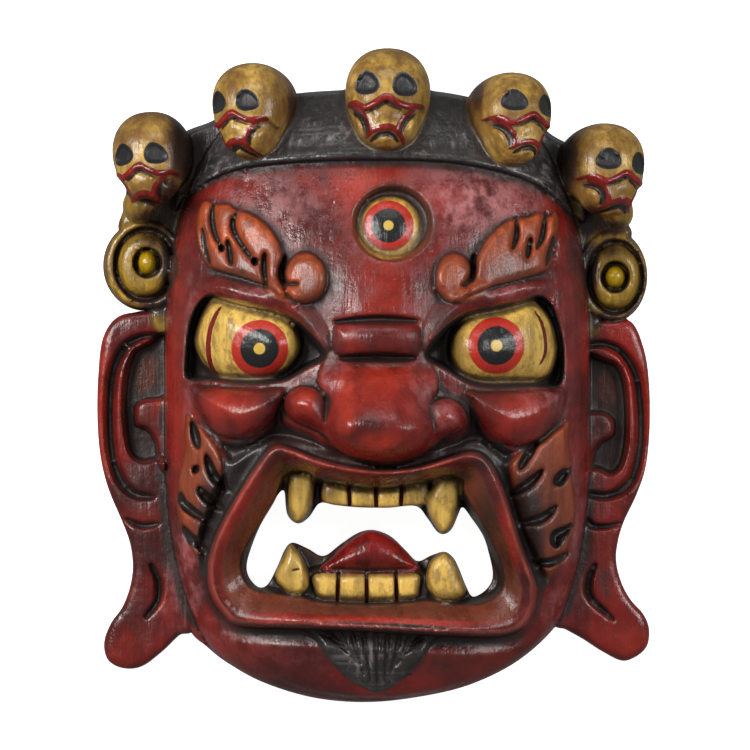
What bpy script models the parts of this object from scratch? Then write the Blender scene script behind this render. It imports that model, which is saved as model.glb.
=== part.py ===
"""A carved wooden cham mask: a wrathful three-eyed face under a crown of five skulls.

It is one block of wood, lying face up on its sawn-flat back and hollowed behind for the wearer, who looks
out through the open mouth. The carving is drawn on a plan, as an eye straight above the mask sees it. Plan
units are millimetres on a mask of PLAN_HEIGHT, +X to the viewer's right and +Y to the crown, and depths are
measured up from the back. The plan's height map, the skulls, the hollow and the mouth make one field, negative
in the wood, and its surface becomes the mesh.
"""

import math

import bpy
import numpy as np

# Sizes that stand by themselves, in metres
HEIGHT = 0.340
FACE_DEPTH = 0.078
NOSE_STAND = 0.032
EAR_DEPTH = 0.021
BAND_THICKNESS = 0.006
WALL = 0.012
RIM_WIDTH = 0.019
EYE_HEIGHT = 1.30

# The plan's own unit, and the level at which it is drawn to scale
PLAN_HEIGHT = 340.0
UNIT = HEIGHT / PLAN_HEIGHT
FACE = FACE_DEPTH / UNIT
EAR = EAR_DEPTH / UNIT
PLAN_LEVEL = 20.0
PLAN_EDGE = (152.0, 180.0)
SAW_ALLOWANCE = 6.0

# The mesh: the field's cell in plan units, and the share of faces kept once flat places are thinned out
CELL = 1.7
KEPT_FACES = 9600

# Face: the outline of the block, and the dome that the features are carved on
FACE_OUTLINE = [
    (-107, 60), (-107, -60), (-107, -88), (-103, -110), (-96, -133), (-87, -142), (-77, -150),
    (-58, -160.5), (-32, -168.5), (-5, -171), (22, -168.5), (50, -162), (76, -149), (96, -130),
    (105, -110), (109.5, -88), (111, -60), (111, 60), (106, 105), (78, 132), (40, 143), (-30, 144),
    (-72, 134), (-101, 105),
]
DOME_CENTRE = (2, -12)
DOME_RADII = (111, 168)
DOME_SQUARENESS = 2.8
DOME_STEP = 3.0
DOME_FALL = 2.5
DOME_ROUND = 0.60
EDGE_ROUND = 5.0

# Headband: a raised strip from temple to temple
BAND_OUTLINE = [
    (-104, 84), (-96, 93), (-80, 103), (-60, 108), (-30, 110.5), (0, 111), (30, 110.5), (55, 107.5),
    (80, 100.5), (95, 91), (110, 78), (111, 98), (106, 116), (94, 124), (78, 134), (57, 142.5),
    (31, 147.5), (0, 148.5), (-38, 146.5), (-60, 142), (-85, 131.5), (-100, 124), (-103, 104),
]

# Ears, with the side's sign first; every list below runs from the top down
EARS = {
    "left": {
        "outline": [
            (-100, 36), (-118, 33), (-133, 30), (-141, 19), (-143.5, 0), (-144, -22), (-142.5, -42),
            (-138.5, -59), (-131, -77), (-127, -88), (-125.5, -100), (-127, -111), (-131, -121.5),
            (-137, -130), (-140.5, -140), (-138.5, -149), (-131, -153.2), (-121, -152.5), (-110, -144.5),
            (-101, -136), (-94, -133), (-90, -110), (-95, -60), (-95, 0),
        ],
        "rim": [(-110, 20), (-121, 19), (-130, 13), (-136, 0), (-137.5, -20), (-136.5, -40), (-132.5, -54),
                (-125, -62.5), (-115, -64)],
        "bowl": [(-98, 20), (-122, 16), (-129, 7), (-132, -10), (-131.5, -28), (-128.5, -42), (-121, -47.5),
                 (-112, -46), (-98, -44)],
        "tragus": [(-96, -10), (-113, -12.5), (-121, -13.5), (-124.5, -18), (-124, -26.5), (-118, -29.5),
                   (-114, -36), (-112.5, -45), (-108, -52), (-96, -54)],
        "crease": [(-129, -75.5), (-121, -79), (-112, -78)],
        "lobe_crease": [(-116, -99), (-112, -108), (-112.5, -118), (-119, -127)],
    },
    "right": {
        "outline": [
            (103, 30), (120, 28), (134, 27.5), (141, 13), (143.7, -5), (144, -28), (142, -48), (137.5, -62),
            (130.5, -77), (127.5, -87), (126.5, -97), (129, -108), (134, -117.5), (141, -125.5),
            (143.8, -134), (141.5, -143.5), (131, -149.5), (120, -145), (109, -138), (100, -133),
            (94, -130), (92, -110), (97, -60), (97, 0),
        ],
        "rim": [(112, 15), (121, 15.5), (130, 10.5), (137, -2), (139.3, -20), (139, -38), (135.5, -53),
                (129, -60.5), (121, -63.5), (112, -62.5)],
        "bowl": [(98, 10), (122, 9), (131, 2), (134, -14), (134, -34), (131, -48), (124, -54),
                 (116, -51), (98, -46)],
        "tragus": [(98, -16), (113, -19), (121, -20), (125.5, -25), (125, -32), (119.5, -35.5),
                   (115.5, -41), (114.5, -48), (110, -54), (98, -57)],
        "crease": [(111, -75.5), (114, -79), (121, -79.5), (129, -77.5)],
        "lobe_crease": [(115.5, -99), (112, -108), (113.5, -117), (125, -128)],
    },
}
EAR_RIM_GROOVE = (4.6, 8.0)
EAR_BOWL_DROP = 11.0

# Ear discs: oval centre and radii of the plate, then of the ring, the pit and the bead on it
DISCS = [
    {"plate": (-119.5, 56.5, 21.5, 23.5), "ring": (-119, 57, 14.5, 17), "pit": (-118, 58, 8, 8.5),
     "bead": (-118, 58, 5.2, 6.7)},
    {"plate": (124.5, 51, 18.3, 24), "ring": (126, 50.5, 13, 17), "pit": (126, 50.5, 8, 8.8),
     "bead": (126, 50.5, 5.4, 6.2)},
]
DISC_NECKS = [[(-131, 84), (-132, 72), (-116, 45), (-116, 25), (-98, 25), (-92, 110), (-112, 116),
               (-124, 100)],
              [(132, 80), (134, 70), (118, 45), (118, 22), (98, 22), (98, 104), (116, 110), (127, 96)]]

# Eyes: the opening between the lids, the ball's outline in it, and the fold of the upper lid
EYES = [
    {"opening": [(-24, 10), (-37, 26), (-50, 32.5), (-65, 35.5), (-76, 38.5), (-84, 42), (-91, 38.5),
                 (-96.5, 27), (-98.5, 10), (-97.5, -3), (-82, -3.8), (-60, -5.2), (-46, -4), (-35, 2)],
     "ball": [(-93.6, 19), (-90, 31), (-84, 39.5), (-73, 39.5), (-59, 36.2), (-48.5, 32.5), (-41.5, 27),
              (-38, 18.5), (-39.2, 10), (-46.5, 1.2), (-59, -3.6), (-79, -2.6), (-87.5, 4), (-92.4, 12)],
     "lid": [(-25, 14), (-36, 30), (-50, 38), (-65, 41), (-77, 44.5), (-90, 46)]},
    {"opening": [(26, 10), (37, 25), (50, 32.5), (65, 36), (77, 38), (86, 41.5), (94, 36),
                 (98.5, 22), (100, 6), (97, -7), (80, -6.5), (60, -6.8), (49, -5), (37, 2)],
     "ball": [(40, 14.5), (41.5, 22), (47.5, 29.5), (55, 32.5), (66, 34.2), (79, 38.5), (86.5, 36.5),
              (92.5, 29), (95.8, 19), (96, 9), (92.5, 0), (86, -4.3), (74, -5.2), (56, -4.8), (45.5, 0),
              (41, 7)],
     "lid": [(28, 14), (37, 30), (50, 38), (65, 41), (77, 44), (91, 45.5)]},
]
SOCKET_DROP = 14.0
BALL_RISE = 20.0
BALL_EDGE = 19.0

# Third eye: the recess and the ball
THIRD_RECESS = (10, 78.5, 22, 20.5)
THIRD_BALL = (8.5, 76, 17.5, 17)

# Brows: flame-shaped plates that end in a curl beside the nose
BROWS = [
    {"plate": [(-46, 39), (-54, 45), (-68, 50), (-84, 55), (-90, 63), (-92.5, 74), (-91.5, 85), (-88, 90.5),
               (-82, 88.5), (-76, 88.8), (-71, 85.5), (-66, 84.5), (-58, 80), (-51, 72), (-47, 62),
               (-49, 52)],
     "curl": (-35.5, 50, 11.2, 13.4),
     "curl_groove": [(-46.5, 61), (-48, 55), (-47.4, 50), (-44, 46.8), (-39, 47)],
     "grooves": [[(-83.2, 89), (-84, 81), (-82.5, 73), (-79.4, 66)], [(-71.2, 84.5), (-73.2, 78),
                                                                      (-70.5, 70), (-62, 58.5)],
                 [(-89, 76), (-88, 66), (-85, 57)], [(-76, 70), (-75, 64), (-73.8, 57)],
                 [(-56.5, 63), (-57, 55), (-55.5, 45)]]},
    {"plate": [(48, 41), (60, 45), (76, 49), (90, 54), (94, 64), (96.5, 78), (95, 84.5), (91.5, 82),
               (86, 84.2), (80, 81.5), (72, 80.5), (65, 76.5), (58, 69), (53.5, 60), (52, 51)],
     "curl": (42, 50, 9.8, 13.2),
     "curl_groove": [(52.5, 62), (52, 54), (49, 47.5), (46, 46)],
     "grooves": [[(74.5, 80.5), (74.5, 72), (72.5, 65)], [(89.5, 83), (88, 72), (85, 65)],
                 [(82, 71), (80, 60)], [(94, 72), (90, 56)]]},
]
BROW_RISE = 7.5

# Nose: a wedge that widens and rises to its tip, a wing each side and a fold across the bridge
NOSE_OUTLINE = [
    (-20, 12), (2, 13), (24, 12), (31, 4), (34, -6), (31, -16), (32.3, -30), (28.5, -39.5), (19, -46),
    (7.5, -48.7), (-4, -46.8), (-15, -42), (-22.8, -35), (-25.8, -26), (-24.6, -14), (-29, -5), (-27, 4),
]
NOSE_TOP_Y = 9.0
NOSE_TIP_Y = -30.0
NOSE_EDGE = 23.0
NOSE_ROOT = 4.0
FOREHEAD = (3, 30, 46, 66)
FOREHEAD_RISE = 7.0
NOSE_WINGS = [
    [(-47, -16), (-44.5, -10), (-37.5, -6.5), (-30, -7.5), (-25, -12), (-22, -22), (-20, -36), (-28, -30.5),
     (-36, -27), (-43.5, -23)],
    [(27, -18), (31, -13.5), (38, -12.5), (44.5, -15), (48.6, -21.5), (47.5, -28.5), (42, -31.5),
     (35, -34.5), (28, -39)],
]
BRIDGE_FOLD = [(-21, 20), (-18, 25.5), (2, 26.5), (21, 25.5), (25, 20), (24.5, 14), (21, 9.5), (2, 9),
               (-17, 9.5), (-21, 13.5)]
BRIDGE_RISE = 5.5
BRIDGE_CREASES = [[(-20, 27), (2, 28.5), (23, 27.5)], [(-17, 8.3), (2, 8.8), (22, 8.3)]]

# Cheeks: a bag under each eye, and the flame-shaped whisker plates below them
CHEEK_BAGS = [
    [(-97.5, -5.5), (-86, -6.5), (-72, -7.5), (-58, -8), (-47, -7.5), (-48, -16), (-53, -25), (-62, -31.5),
     (-72, -34), (-82, -30.5), (-90, -21)],
    [(48, -9), (60, -9.5), (74, -9), (88, -8.5), (99.5, -8), (99, -18), (92, -29.5), (83, -35.5), (74, -37.5),
     (64, -34.5), (56, -25), (51, -15)],
]
CHEEK_HOLLOWS = [
    [(-50, -12), (-46, -22), (-38, -28), (-28, -33), (-22, -41), (-40, -37), (-52, -36), (-60, -40),
     (-74, -48), (-80, -40), (-84, -33), (-72, -35), (-60, -31), (-53, -23)],
    [(51, -12), (49, -24), (44, -32), (36, -36), (28, -42), (42, -40), (54, -37), (60, -41), (69, -48),
     (76, -40), (72, -38.5), (63, -34), (56, -25)],
]
CHEEK_HOLLOW = 6.0
WHISKERS = [
    {"plate": [(-97.5, -20), (-91, -26), (-84, -33), (-78, -44), (-78, -57), (-82, -70), (-87, -84),
               (-88, -100), (-96, -90), (-101, -80), (-103, -66), (-101.5, -52), (-98.5, -40),
               (-98.8, -30)],
     "grooves": [[(-94.5, -25), (-92.8, -32), (-91, -39)], [(-87, -42), (-84, -51), (-77, -59)],
                 [(-101, -61), (-98, -69), (-87, -77)], [(-91, -59), (-86, -65), (-79, -70)],
                 [(-99.5, -79), (-95, -86), (-89, -92)], [(-94, -49), (-91, -50.5)]]},
    {"plate": [(102, -24), (94, -29), (86, -35.5), (77, -40), (71, -46), (70, -56), (73, -69), (77, -82),
               (83, -95), (90, -107), (97, -100.5), (102, -91), (105, -80), (105.8, -68), (104.5, -56),
               (102.8, -44), (102, -34)],
     "grooves": [[(85, -36), (80, -43), (76, -50)], [(101, -49), (97, -54), (94, -58)],
                 [(88, -50), (81, -57), (71, -63)], [(95, -69), (88, -75), (77, -78)],
                 [(104, -79), (95, -84), (95, -90)], [(101, -93), (93, -98), (83, -98)]]},
]
WHISKER_RISE = 5.0
WHISKER_GROOVE = (3.6, 5.5)

# Mouth: the outer edge of the lips, their inner edge, and the opening that goes right through
LIPS = [
    (0, -51), (-18, -48.5), (-31, -45), (-42, -40.5), (-50, -38.5), (-56, -43), (-66, -58), (-75.5, -74),
    (-82.5, -89), (-85, -102), (-83, -115), (-77, -124), (-69, -129.5), (-40, -130.7), (0, -132.3),
    (30, -134), (60, -135), (74, -132.5), (81, -125), (83.3, -112), (81, -103), (76, -91), (70.5, -73),
    (64.5, -56), (58, -45), (50, -42), (42, -44), (30, -48), (16, -50.7),
]
GUMS = [
    (-47, -51), (-38, -49.5), (-29, -53), (-14, -55.7), (0, -57), (15, -56.2), (28, -53.8), (38, -52),
    (47.5, -53.5), (49, -62), (57, -76), (62.5, -86), (66.5, -95), (69.5, -105), (67.5, -114),
    (59, -120), (48, -121.5), (28, -119.5), (8, -119), (-12, -119), (-30, -118.5), (-45, -116.5),
    (-56, -115.5), (-65, -112.5), (-70, -105), (-70.5, -97), (-67.5, -89), (-60.5, -78), (-53.5, -67),
]
OPENING = [
    (-46.5, -61), (-45, -73), (-39.5, -78), (-33.5, -74.5), (-28, -67.3), (-20, -68.3), (-8, -69.5),
    (8, -69.7), (22, -68.8), (28, -75), (33, -82), (37, -83.5), (41, -80.5), (44.5, -72.5),
    (46.5, -69.3), (51, -75), (57, -84), (60, -93), (62.2, -105), (59, -112), (52, -116), (48.5, -111),
    (44.5, -101), (41.5, -95.5), (37, -92.5), (30, -94.5), (23, -97.5), (17, -92), (9, -84.5),
    (0, -81.2), (-8, -82.7), (-17, -88.5), (-26, -94.8), (-34, -91), (-42, -87.8), (-46, -91),
    (-50, -100), (-55, -109.5), (-60, -111), (-65, -105.5), (-66, -99), (-63.5, -90), (-59, -79),
    (-52.5, -68), (-49.5, -62.5),
]
LIP_RISE = 17.0
GUM_DROP = 28.0
FANGS = [
    ([(-46, -51), (-38, -49.5), (-30.5, -53), (-31, -66), (-34, -74), (-39.5, -78.5), (-44.5, -73.5),
      (-46, -62)], 17),
    ([(33, -53), (40, -52), (46.5, -54), (46, -66), (42.5, -78), (37, -84), (31.5, -79), (27, -69),
      (29, -60)], 17),
    ([(-51.5, -105), (-47.5, -95), (-43.5, -88), (-37, -95), (-33.5, -104), (-34, -112), (-40, -116),
      (-48, -112)], 17),
    ([(27, -106), (29.5, -97), (37, -92), (42, -96), (46.5, -106), (48.5, -114), (43, -118.5), (35, -119),
      (29, -114)],
     17),
]
TEETH = [
    {"row": [(-26, -56), (-12, -58), (2, -59), (15, -58), (28, -56), (29, -66), (23, -70), (2, -71.5),
             (-18, -70.5), (-27, -68)],
     "gaps": [[(-12.8, -56), (-12.2, -72)], [(1.2, -56), (1.6, -73)], [(14.8, -56), (14.2, -73)]]},
    {"row": [(-31, -104), (-16, -103.5), (-3, -103.3), (12, -103.5), (24, -104), (24.5, -112),
             (21, -117.5), (-3, -119), (-26, -118), (-31.5, -112)],
     "gaps": [[(-18.3, -103), (-18.8, -119)], [(-3.6, -103), (-3.4, -120)], [(11.6, -103), (12.2, -119)]]},
]
TOOTH_RISE = 12.0
TOOTH_GAP = (2.0, 5.0)
TOOTH_SHELF = [(-33, -100), (0, -101.5), (25, -99), (27, -119), (-33, -119)]
TONGUE = [(-25, -103), (-21, -94), (-11, -85.5), (-1, -81), (9, -84.5), (17, -91.5), (22, -103)]

# Chin and beard
CHIN = (1, -148, 58, 21)
BEARD = [(-33, -130), (-28, -142), (-20, -152.5), (-10, -161), (2, -166), (12, -161.5), (23, -152),
         (31, -141), (37, -132)]

# Skulls along the crown: plan place, the middle's depth as a share of the face's, size, turns about Y, X and Z
SKULLS = [
    {"at": (-115.8, 115.5), "depth": 0.50, "size": 0.93, "yaw": -13, "pitch": -9, "roll": 4},
    {"at": (-63, 140.5), "depth": 0.69, "size": 0.95, "yaw": -22, "pitch": -9, "roll": 5},
    {"at": (7.5, 146.5), "depth": 0.77, "size": 1.03, "yaw": 0, "pitch": -6, "roll": -1},
    {"at": (72, 136), "depth": 0.675, "size": 0.93, "yaw": 27, "pitch": -10, "roll": -7},
    {"at": (120.5, 109.5), "depth": 0.475, "size": 0.93, "yaw": 28, "pitch": -9, "roll": -6},
]
CRANIUM = (21.2, 22.5)
CRANIUM_FRONT = 23.0
CRANIUM_BACK = 38.0
CRANIUM_SQUARENESS = 2.25
JAW_AT = (0.0, -16.5, 6.5)
JAW = (15.8, 14.5, 16.5)
SKULL_SOCKETS = [(-10.6, 2.8), (10.6, 2.8)]
SKULL_SOCKET = (7.4, 6.4)
SKULL_POST = 16.0
SKULL_POST_BLEND = 9.0
SKULL_CREASES = [
    [(-21, -10.5), (-17, -9.8), (-11.6, -12), (-6.5, -10.2), (0, -6.5), (5.5, -9), (11.5, -11),
     (20, -10.5)],
    [(-18, -11), (-13.4, -13.5), (-10.4, -17), (-9.4, -22), (-10.5, -26)],
    [(17, -11.5), (12, -14.5), (9.4, -18), (8.6, -23), (10, -27)],
    [(-9.5, -25.5), (-6, -22.5), (0, -20.8), (5, -22), (8.5, -25.5)],
]
SKULL_CREASE = (3.2, 3.0)

# The long chins of the outermost skulls, which rest on the ear discs: centre and radii
LONG_CHINS = [((-122.3, 87.5, 37), (8.5, 9.5, 13.5)), ((127.5, 84, 35), (8, 9, 13))]

# Hollow: its plan, how it narrows from the back up, and how far round it keeps its wall
HOLLOW_SQUARENESS = 2.6
HOLLOW_ROUND = 0.5
HOLLOW_REACH = 8.5

FACE_RED = (0.36, 0.045, 0.035, 1.0)


def ease(share):
    """From 0 to 1 with a level start and end."""
    share = np.clip(share, 0, 1)
    return share * share * (3 - 2 * share)


def dome(share):
    """From 0 to 1 as a quarter circle rises."""
    share = np.clip(share, 0, 1)
    return np.sqrt(share * (2 - share))


def join(a, b, blend):
    """The lower of two fields, with a fillet of about blend where they meet."""
    step = np.clip(0.5 + 0.5 * (b - a) / blend, 0, 1)
    return b + (a - b) * step - blend * step * (1 - step)


def cut(a, b, blend):
    """The higher of two fields, rounded over about blend where they meet."""
    return -join(-a, -b, blend)


def spline(points, closed=False, steps=6):
    """A Catmull-Rom curve through the points."""
    p = np.array(points, float)
    if closed:
        p = np.vstack([p[-1], p, p[:2]])
    else:
        p = np.vstack([2 * p[0] - p[1], p, 2 * p[-1] - p[-2]])
    t = np.linspace(0, 1, steps, endpoint=False)[:, None]
    spans = []
    for a, b, c, d in zip(p, p[1:], p[2:], p[3:]):
        spans.append(0.5 * (2 * b + (c - a) * t + (2 * a - 5 * b + 4 * c - d) * t**2
                            + (3 * b - a - 3 * c + d) * t**3))
    if not closed:
        spans.append(p[-2:-1])
    return np.vstack(spans)


def from_line(curve, x, y):
    """Each place's distance from the curve, and how far along it the nearest point lies, from 0 to 1."""
    nearest = np.full(np.shape(x), np.inf)
    along = np.zeros(np.shape(x))
    count = len(curve) - 1
    for i, (a, b) in enumerate(zip(curve, curve[1:])):
        run = b - a
        t = np.clip(((x - a[0]) * run[0] + (y - a[1]) * run[1]) / max(run @ run, 1e-9), 0, 1)
        gap = np.hypot(x - a[0] - t * run[0], y - a[1] - t * run[1])
        closer = gap < nearest
        nearest = np.where(closer, gap, nearest)
        along = np.where(closer, (i + t) / count, along)
    return nearest, along


def depth_inside(outline, x, y):
    """How far each place lies inside the closed outline, negative outside it."""
    ring = np.vstack([outline, outline[:1]])
    gap, _ = from_line(ring, x, y)
    inside = np.zeros(np.shape(x), bool)
    for a, b in zip(ring, ring[1:]):
        if a[1] != b[1]:
            crosses = (a[1] > y) != (b[1] > y)
            inside ^= crosses & (x < a[0] + (y - a[1]) * (b[0] - a[0]) / (b[1] - a[1]))
    return np.where(inside, gap, -gap)


def oval_radius(oval, x, y, squareness=2.0):
    """0 at the oval's middle and 1 on its edge; oval is its centre and radii."""
    cx, cy, rx, ry = oval
    return (np.abs((x - cx) / rx) ** squareness + np.abs((y - cy) / ry) ** squareness) ** (1 / squareness)


class Relief:
    """A height map over the plan. Each method carves only the window that its shape reaches."""

    def __init__(self, cell):
        self.xs = np.arange(-PLAN_EDGE[0], PLAN_EDGE[0], cell)
        self.ys = np.arange(-PLAN_EDGE[1], PLAN_EDGE[1], cell)
        self.x, self.y = np.meshgrid(self.xs, self.ys, indexing="ij")
        self.z = np.zeros(self.x.shape)

    def window(self, points, reach):
        """The part of the plan within reach of the points, and its x and y."""
        low, high = np.min(points, axis=0) - reach, np.max(points, axis=0) + reach
        part = (slice(*np.searchsorted(self.xs, (low[0], high[0]))),
                slice(*np.searchsorted(self.ys, (low[1], high[1]))))
        return part, self.x[part], self.y[part]

    def plate(self, outline, rise, edge, profile=ease):
        """Raises what the outline holds by rise, over an edge that starts at the outline."""
        curve = spline(outline, closed=True)
        part, x, y = self.window(curve, edge)
        self.z[part] += rise * profile(depth_inside(curve, x, y) / edge)

    def level(self, outline, height, edge):
        """Brings what the outline holds to a height, over an edge that starts at the outline."""
        curve = spline(outline, closed=True)
        part, x, y = self.window(curve, edge)
        share = ease(depth_inside(curve, x, y) / edge)
        self.z[part] += (height - self.z[part]) * share

    def line(self, points, width, rise):
        """Raises a ridge along a curve, or cuts a groove where rise is negative; both fade at its ends."""
        curve = spline(points)
        part, x, y = self.window(curve, width)
        gap, along = from_line(curve, x, y)
        fade = 0.45 + 0.55 * np.sin(math.pi * np.clip(along, 0, 1)) ** 0.5
        self.z[part] += rise * fade * (1 - ease(gap / (width * fade)))

    def mound(self, oval, rise, squareness=2.0, blend=1.5):
        """Raises the surface inside an oval to a rounded top, rise above its edge."""
        cx, cy, rx, ry = oval
        part, x, y = self.window([(cx - rx, cy - ry), (cx + rx, cy + ry)], 0)
        radius = oval_radius(oval, x, y, squareness)
        edge = self.z[part][np.abs(radius - 1) < 0.1].min()
        top = edge + rise * np.sqrt(np.clip(1 - radius**squareness, 0, 1))
        self.z[part] = np.where(radius < 1, cut(self.z[part], top, blend), self.z[part])


def carve_dome(relief):
    """The face's dome, which stands over the ears."""
    radius = oval_radius((*DOME_CENTRE, *DOME_RADII), relief.x, relief.y, DOME_SQUARENESS)
    rise = np.clip(1 - radius**DOME_FALL, 0, 1) ** DOME_ROUND
    rim = EAR + DOME_STEP
    face = rim + (FACE - rim) * rise
    relief.z = np.where(radius < 1, face, relief.z)


def carve_band(relief):
    """The headband, and the low roll along its lower edge."""
    relief.plate(BAND_OUTLINE, BAND_THICKNESS / UNIT, 1.8)
    lower_edge = [(x, y + 4) for x, y in BAND_OUTLINE[1:10]]
    relief.line(lower_edge, 5.0, 1.2)


def carve_ear(relief, ear):
    """The ear's rim groove, its bowl with the tragus standing in it, and the creases of the lobe."""
    relief.plate(ear["bowl"], -EAR_BOWL_DROP, 4.0)
    relief.plate(ear["tragus"], EAR_BOWL_DROP, 3.0, dome)
    width, depth = EAR_RIM_GROOVE
    relief.line(ear["rim"], width, -depth)
    relief.line(ear["crease"], 3.0, -4.0)
    relief.line(ear["lobe_crease"], 3.4, -5.0)


def carve_disc(relief, disc):
    """An ear disc: a flat rim, a sunk channel, a thick ring and a bead in its pit."""
    part, x, y = relief.window([disc["plate"][:2]], max(disc["plate"][2:]))
    plate = oval_radius(disc["plate"], x, y)
    ring = oval_radius(disc["ring"], x, y)
    pit = oval_radius(disc["pit"], x, y)
    bead = oval_radius(disc["bead"], x, y)
    top = EAR + 1.0 + 1.5 * ease((1 - plate) / 0.08)
    top -= 6.0 * ease((1.20 - ring) / 0.14)
    top += 9.0 * dome((1 - ring) / 0.30)
    top -= 8.0 * ease((1 - pit) / 0.20)
    top += 8.0 * dome((1 - bead) / 0.8)
    relief.z[part] = np.where(plate < 1, top, relief.z[part])


def carve_eye(relief, eye):
    """The upper lid's fold, the socket and the ball bulging out of it."""
    curve = spline(eye["ball"], closed=True)
    part, x, y = relief.window(curve, 1)
    inside = depth_inside(curve, x, y)
    ball = relief.z[part] - SOCKET_DROP + BALL_RISE * dome(inside / BALL_EDGE)
    relief.line(eye["lid"], 9.5, 5.5)
    relief.plate(eye["opening"], -SOCKET_DROP - 3.0, 3.2)
    relief.z[part] = np.where(inside > 0, cut(relief.z[part], ball, 0.8), relief.z[part])


def carve_third_eye(relief):
    """A round recess in the forehead with a ball in it."""
    part, x, y = relief.window([THIRD_RECESS[:2]], THIRD_RECESS[2])
    relief.z[part] -= 6.5 * ease((1 - oval_radius(THIRD_RECESS, x, y)) / 0.22)
    relief.mound(THIRD_BALL, 9.0, blend=1.0)


def carve_brow(relief, brow):
    """A flame-shaped plate whose lower edge runs into the lid, and its curl."""
    relief.plate(brow["plate"], BROW_RISE, 4.5, dome)
    curl_x, curl_y = brow["curl"][:2]
    part, x, y = relief.window([(curl_x, curl_y)], max(brow["curl"][2:]))
    curl = oval_radius(brow["curl"], x, y)
    raised = depth_inside(spline(brow["plate"], closed=True), x, y)
    relief.z[part] += (BROW_RISE + 1.5) * dome((1 - curl) / 0.45) * (1 - ease(raised / 3.0))
    relief.line(brow["curl_groove"], 3.0, -5.5)
    for groove in brow["grooves"]:
        relief.line(groove, 3.2, -5.0)


def carve_nose(relief):
    """The folds across the bridge, the wings and the ball."""
    radius = oval_radius(FOREHEAD, relief.x, relief.y)
    relief.z += FOREHEAD_RISE * ease(1 - radius)
    relief.plate(BRIDGE_FOLD, BRIDGE_RISE, 8.0, dome)
    for wing in NOSE_WINGS:
        relief.plate(wing, 16.0, 11.0, dome)
    outline = spline(NOSE_OUTLINE, closed=True)
    part, x, y = relief.window(outline, 1)
    inside = depth_inside(outline, x, y)
    slope = 0.3 + 0.7 * ease((NOSE_TOP_Y - y) / (NOSE_TOP_Y - NOSE_TIP_Y))
    stand = (NOSE_STAND / UNIT - NOSE_ROOT) * slope
    flank = ease(inside / NOSE_EDGE)
    top = FACE + NOSE_ROOT * slope + stand * (flank + (dome(inside / NOSE_EDGE) - flank) * slope)
    relief.z[part] = np.where(inside > 0, cut(relief.z[part], top, 2.5), relief.z[part])
    for crease in BRIDGE_CREASES:
        relief.line(crease, 3.2, -6.0)


def carve_cheek(relief, bag, hollow, whisker):
    """The bag under the eye, the hollow below it, and the whisker plate slit into flames."""
    relief.plate(bag, 14.0, 17.0, dome)
    relief.plate(hollow, -CHEEK_HOLLOW, 5.0)
    relief.plate(whisker["plate"], WHISKER_RISE, 3.0)
    width, depth = WHISKER_GROOVE
    for groove in whisker["grooves"]:
        relief.line(groove, width, -depth)


def carve_mouth(relief):
    """Lips that stand off the face and slope in to the gums, then teeth, fangs and tongue."""
    lips, gums = spline(LIPS, closed=True), spline(GUMS, closed=True)
    part, x, y = relief.window(lips, 14)
    out, within = depth_inside(lips, x, y), depth_inside(gums, x, y)
    ground = relief.z[part]
    crest = np.minimum(ground, FACE) + LIP_RISE
    gum_level = FACE - GUM_DROP
    across = np.clip(out / np.maximum(out - within, 0.1), 0, 1)
    lip = crest - 2.5 * (1 - dome(out / 3.0)) - 16.0 * across**1.35
    valley = ground - 5.0 * (1 - ease(np.abs(out + 4) / 9.0))
    shaped = np.where(out > 0, lip, valley + (lip - valley) * ease(1 + out / 2.5))
    inner = gum_level + (lip - gum_level) * (1 - ease(within / 5.5))
    relief.z[part] = np.where(within > 0, inner, shaped)
    relief.level(TOOTH_SHELF, gum_level + 7, 3.0)
    relief.level(TONGUE, gum_level + 1, 2.0)
    relief.plate(TONGUE, 13.0, 13.0, dome)
    for teeth in TEETH:
        relief.level(teeth["row"], gum_level + 6, 1.0)
        relief.plate(teeth["row"], TOOTH_RISE - 6, 5.5, dome)
        for gap in teeth["gaps"]:
            relief.line(gap, TOOTH_GAP[0], -TOOTH_GAP[1])
    for outline, rise in FANGS:
        relief.level(outline, gum_level + 6, 1.5)
        relief.plate(outline, rise - 6, 6.0, dome)


def carve_chin(relief):
    """The chin's swell and the short beard on it."""
    relief.mound(CHIN, 14.0, blend=6.0)
    relief.plate(BEARD, 3.0, 3.0)


def carve_plan(cell):
    """The whole face as a height map."""
    relief = Relief(cell)
    relief.z += EAR
    for disc in DISCS:
        carve_disc(relief, disc)
    for ear in EARS.values():
        carve_ear(relief, ear)
    carve_dome(relief)
    carve_third_eye(relief)
    carve_nose(relief)
    for bag, hollow, whisker in zip(CHEEK_BAGS, CHEEK_HOLLOWS, WHISKERS):
        carve_cheek(relief, bag, hollow, whisker)
    for eye in EYES:
        carve_eye(relief, eye)
    for brow in BROWS:
        carve_brow(relief, brow)
    carve_chin(relief)
    carve_mouth(relief)
    carve_band(relief)
    return relief


def block_depth(relief):
    """How far each place lies inside the block as sawn to its outline."""
    shapes = [FACE_OUTLINE, BAND_OUTLINE, *DISC_NECKS, *(ear["outline"] for ear in EARS.values())]
    depth = np.full(relief.x.shape, -np.inf)
    for shape in shapes:
        depth = np.maximum(depth, depth_inside(spline(shape, closed=True), relief.x, relief.y))
    for disc in DISCS:
        reach = min(disc["plate"][2:])
        depth = np.maximum(depth, reach * (1 - oval_radius(disc["plate"], relief.x, relief.y)))
    return depth


def near(height, cells, pick):
    """What pick makes of the levels within so many cells of each place, taken along X and then along Y."""
    for axis in (0, 1):
        height = pick([np.roll(height, step, axis) for step in range(-cells, cells + 1)], axis=0)
    return height


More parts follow.
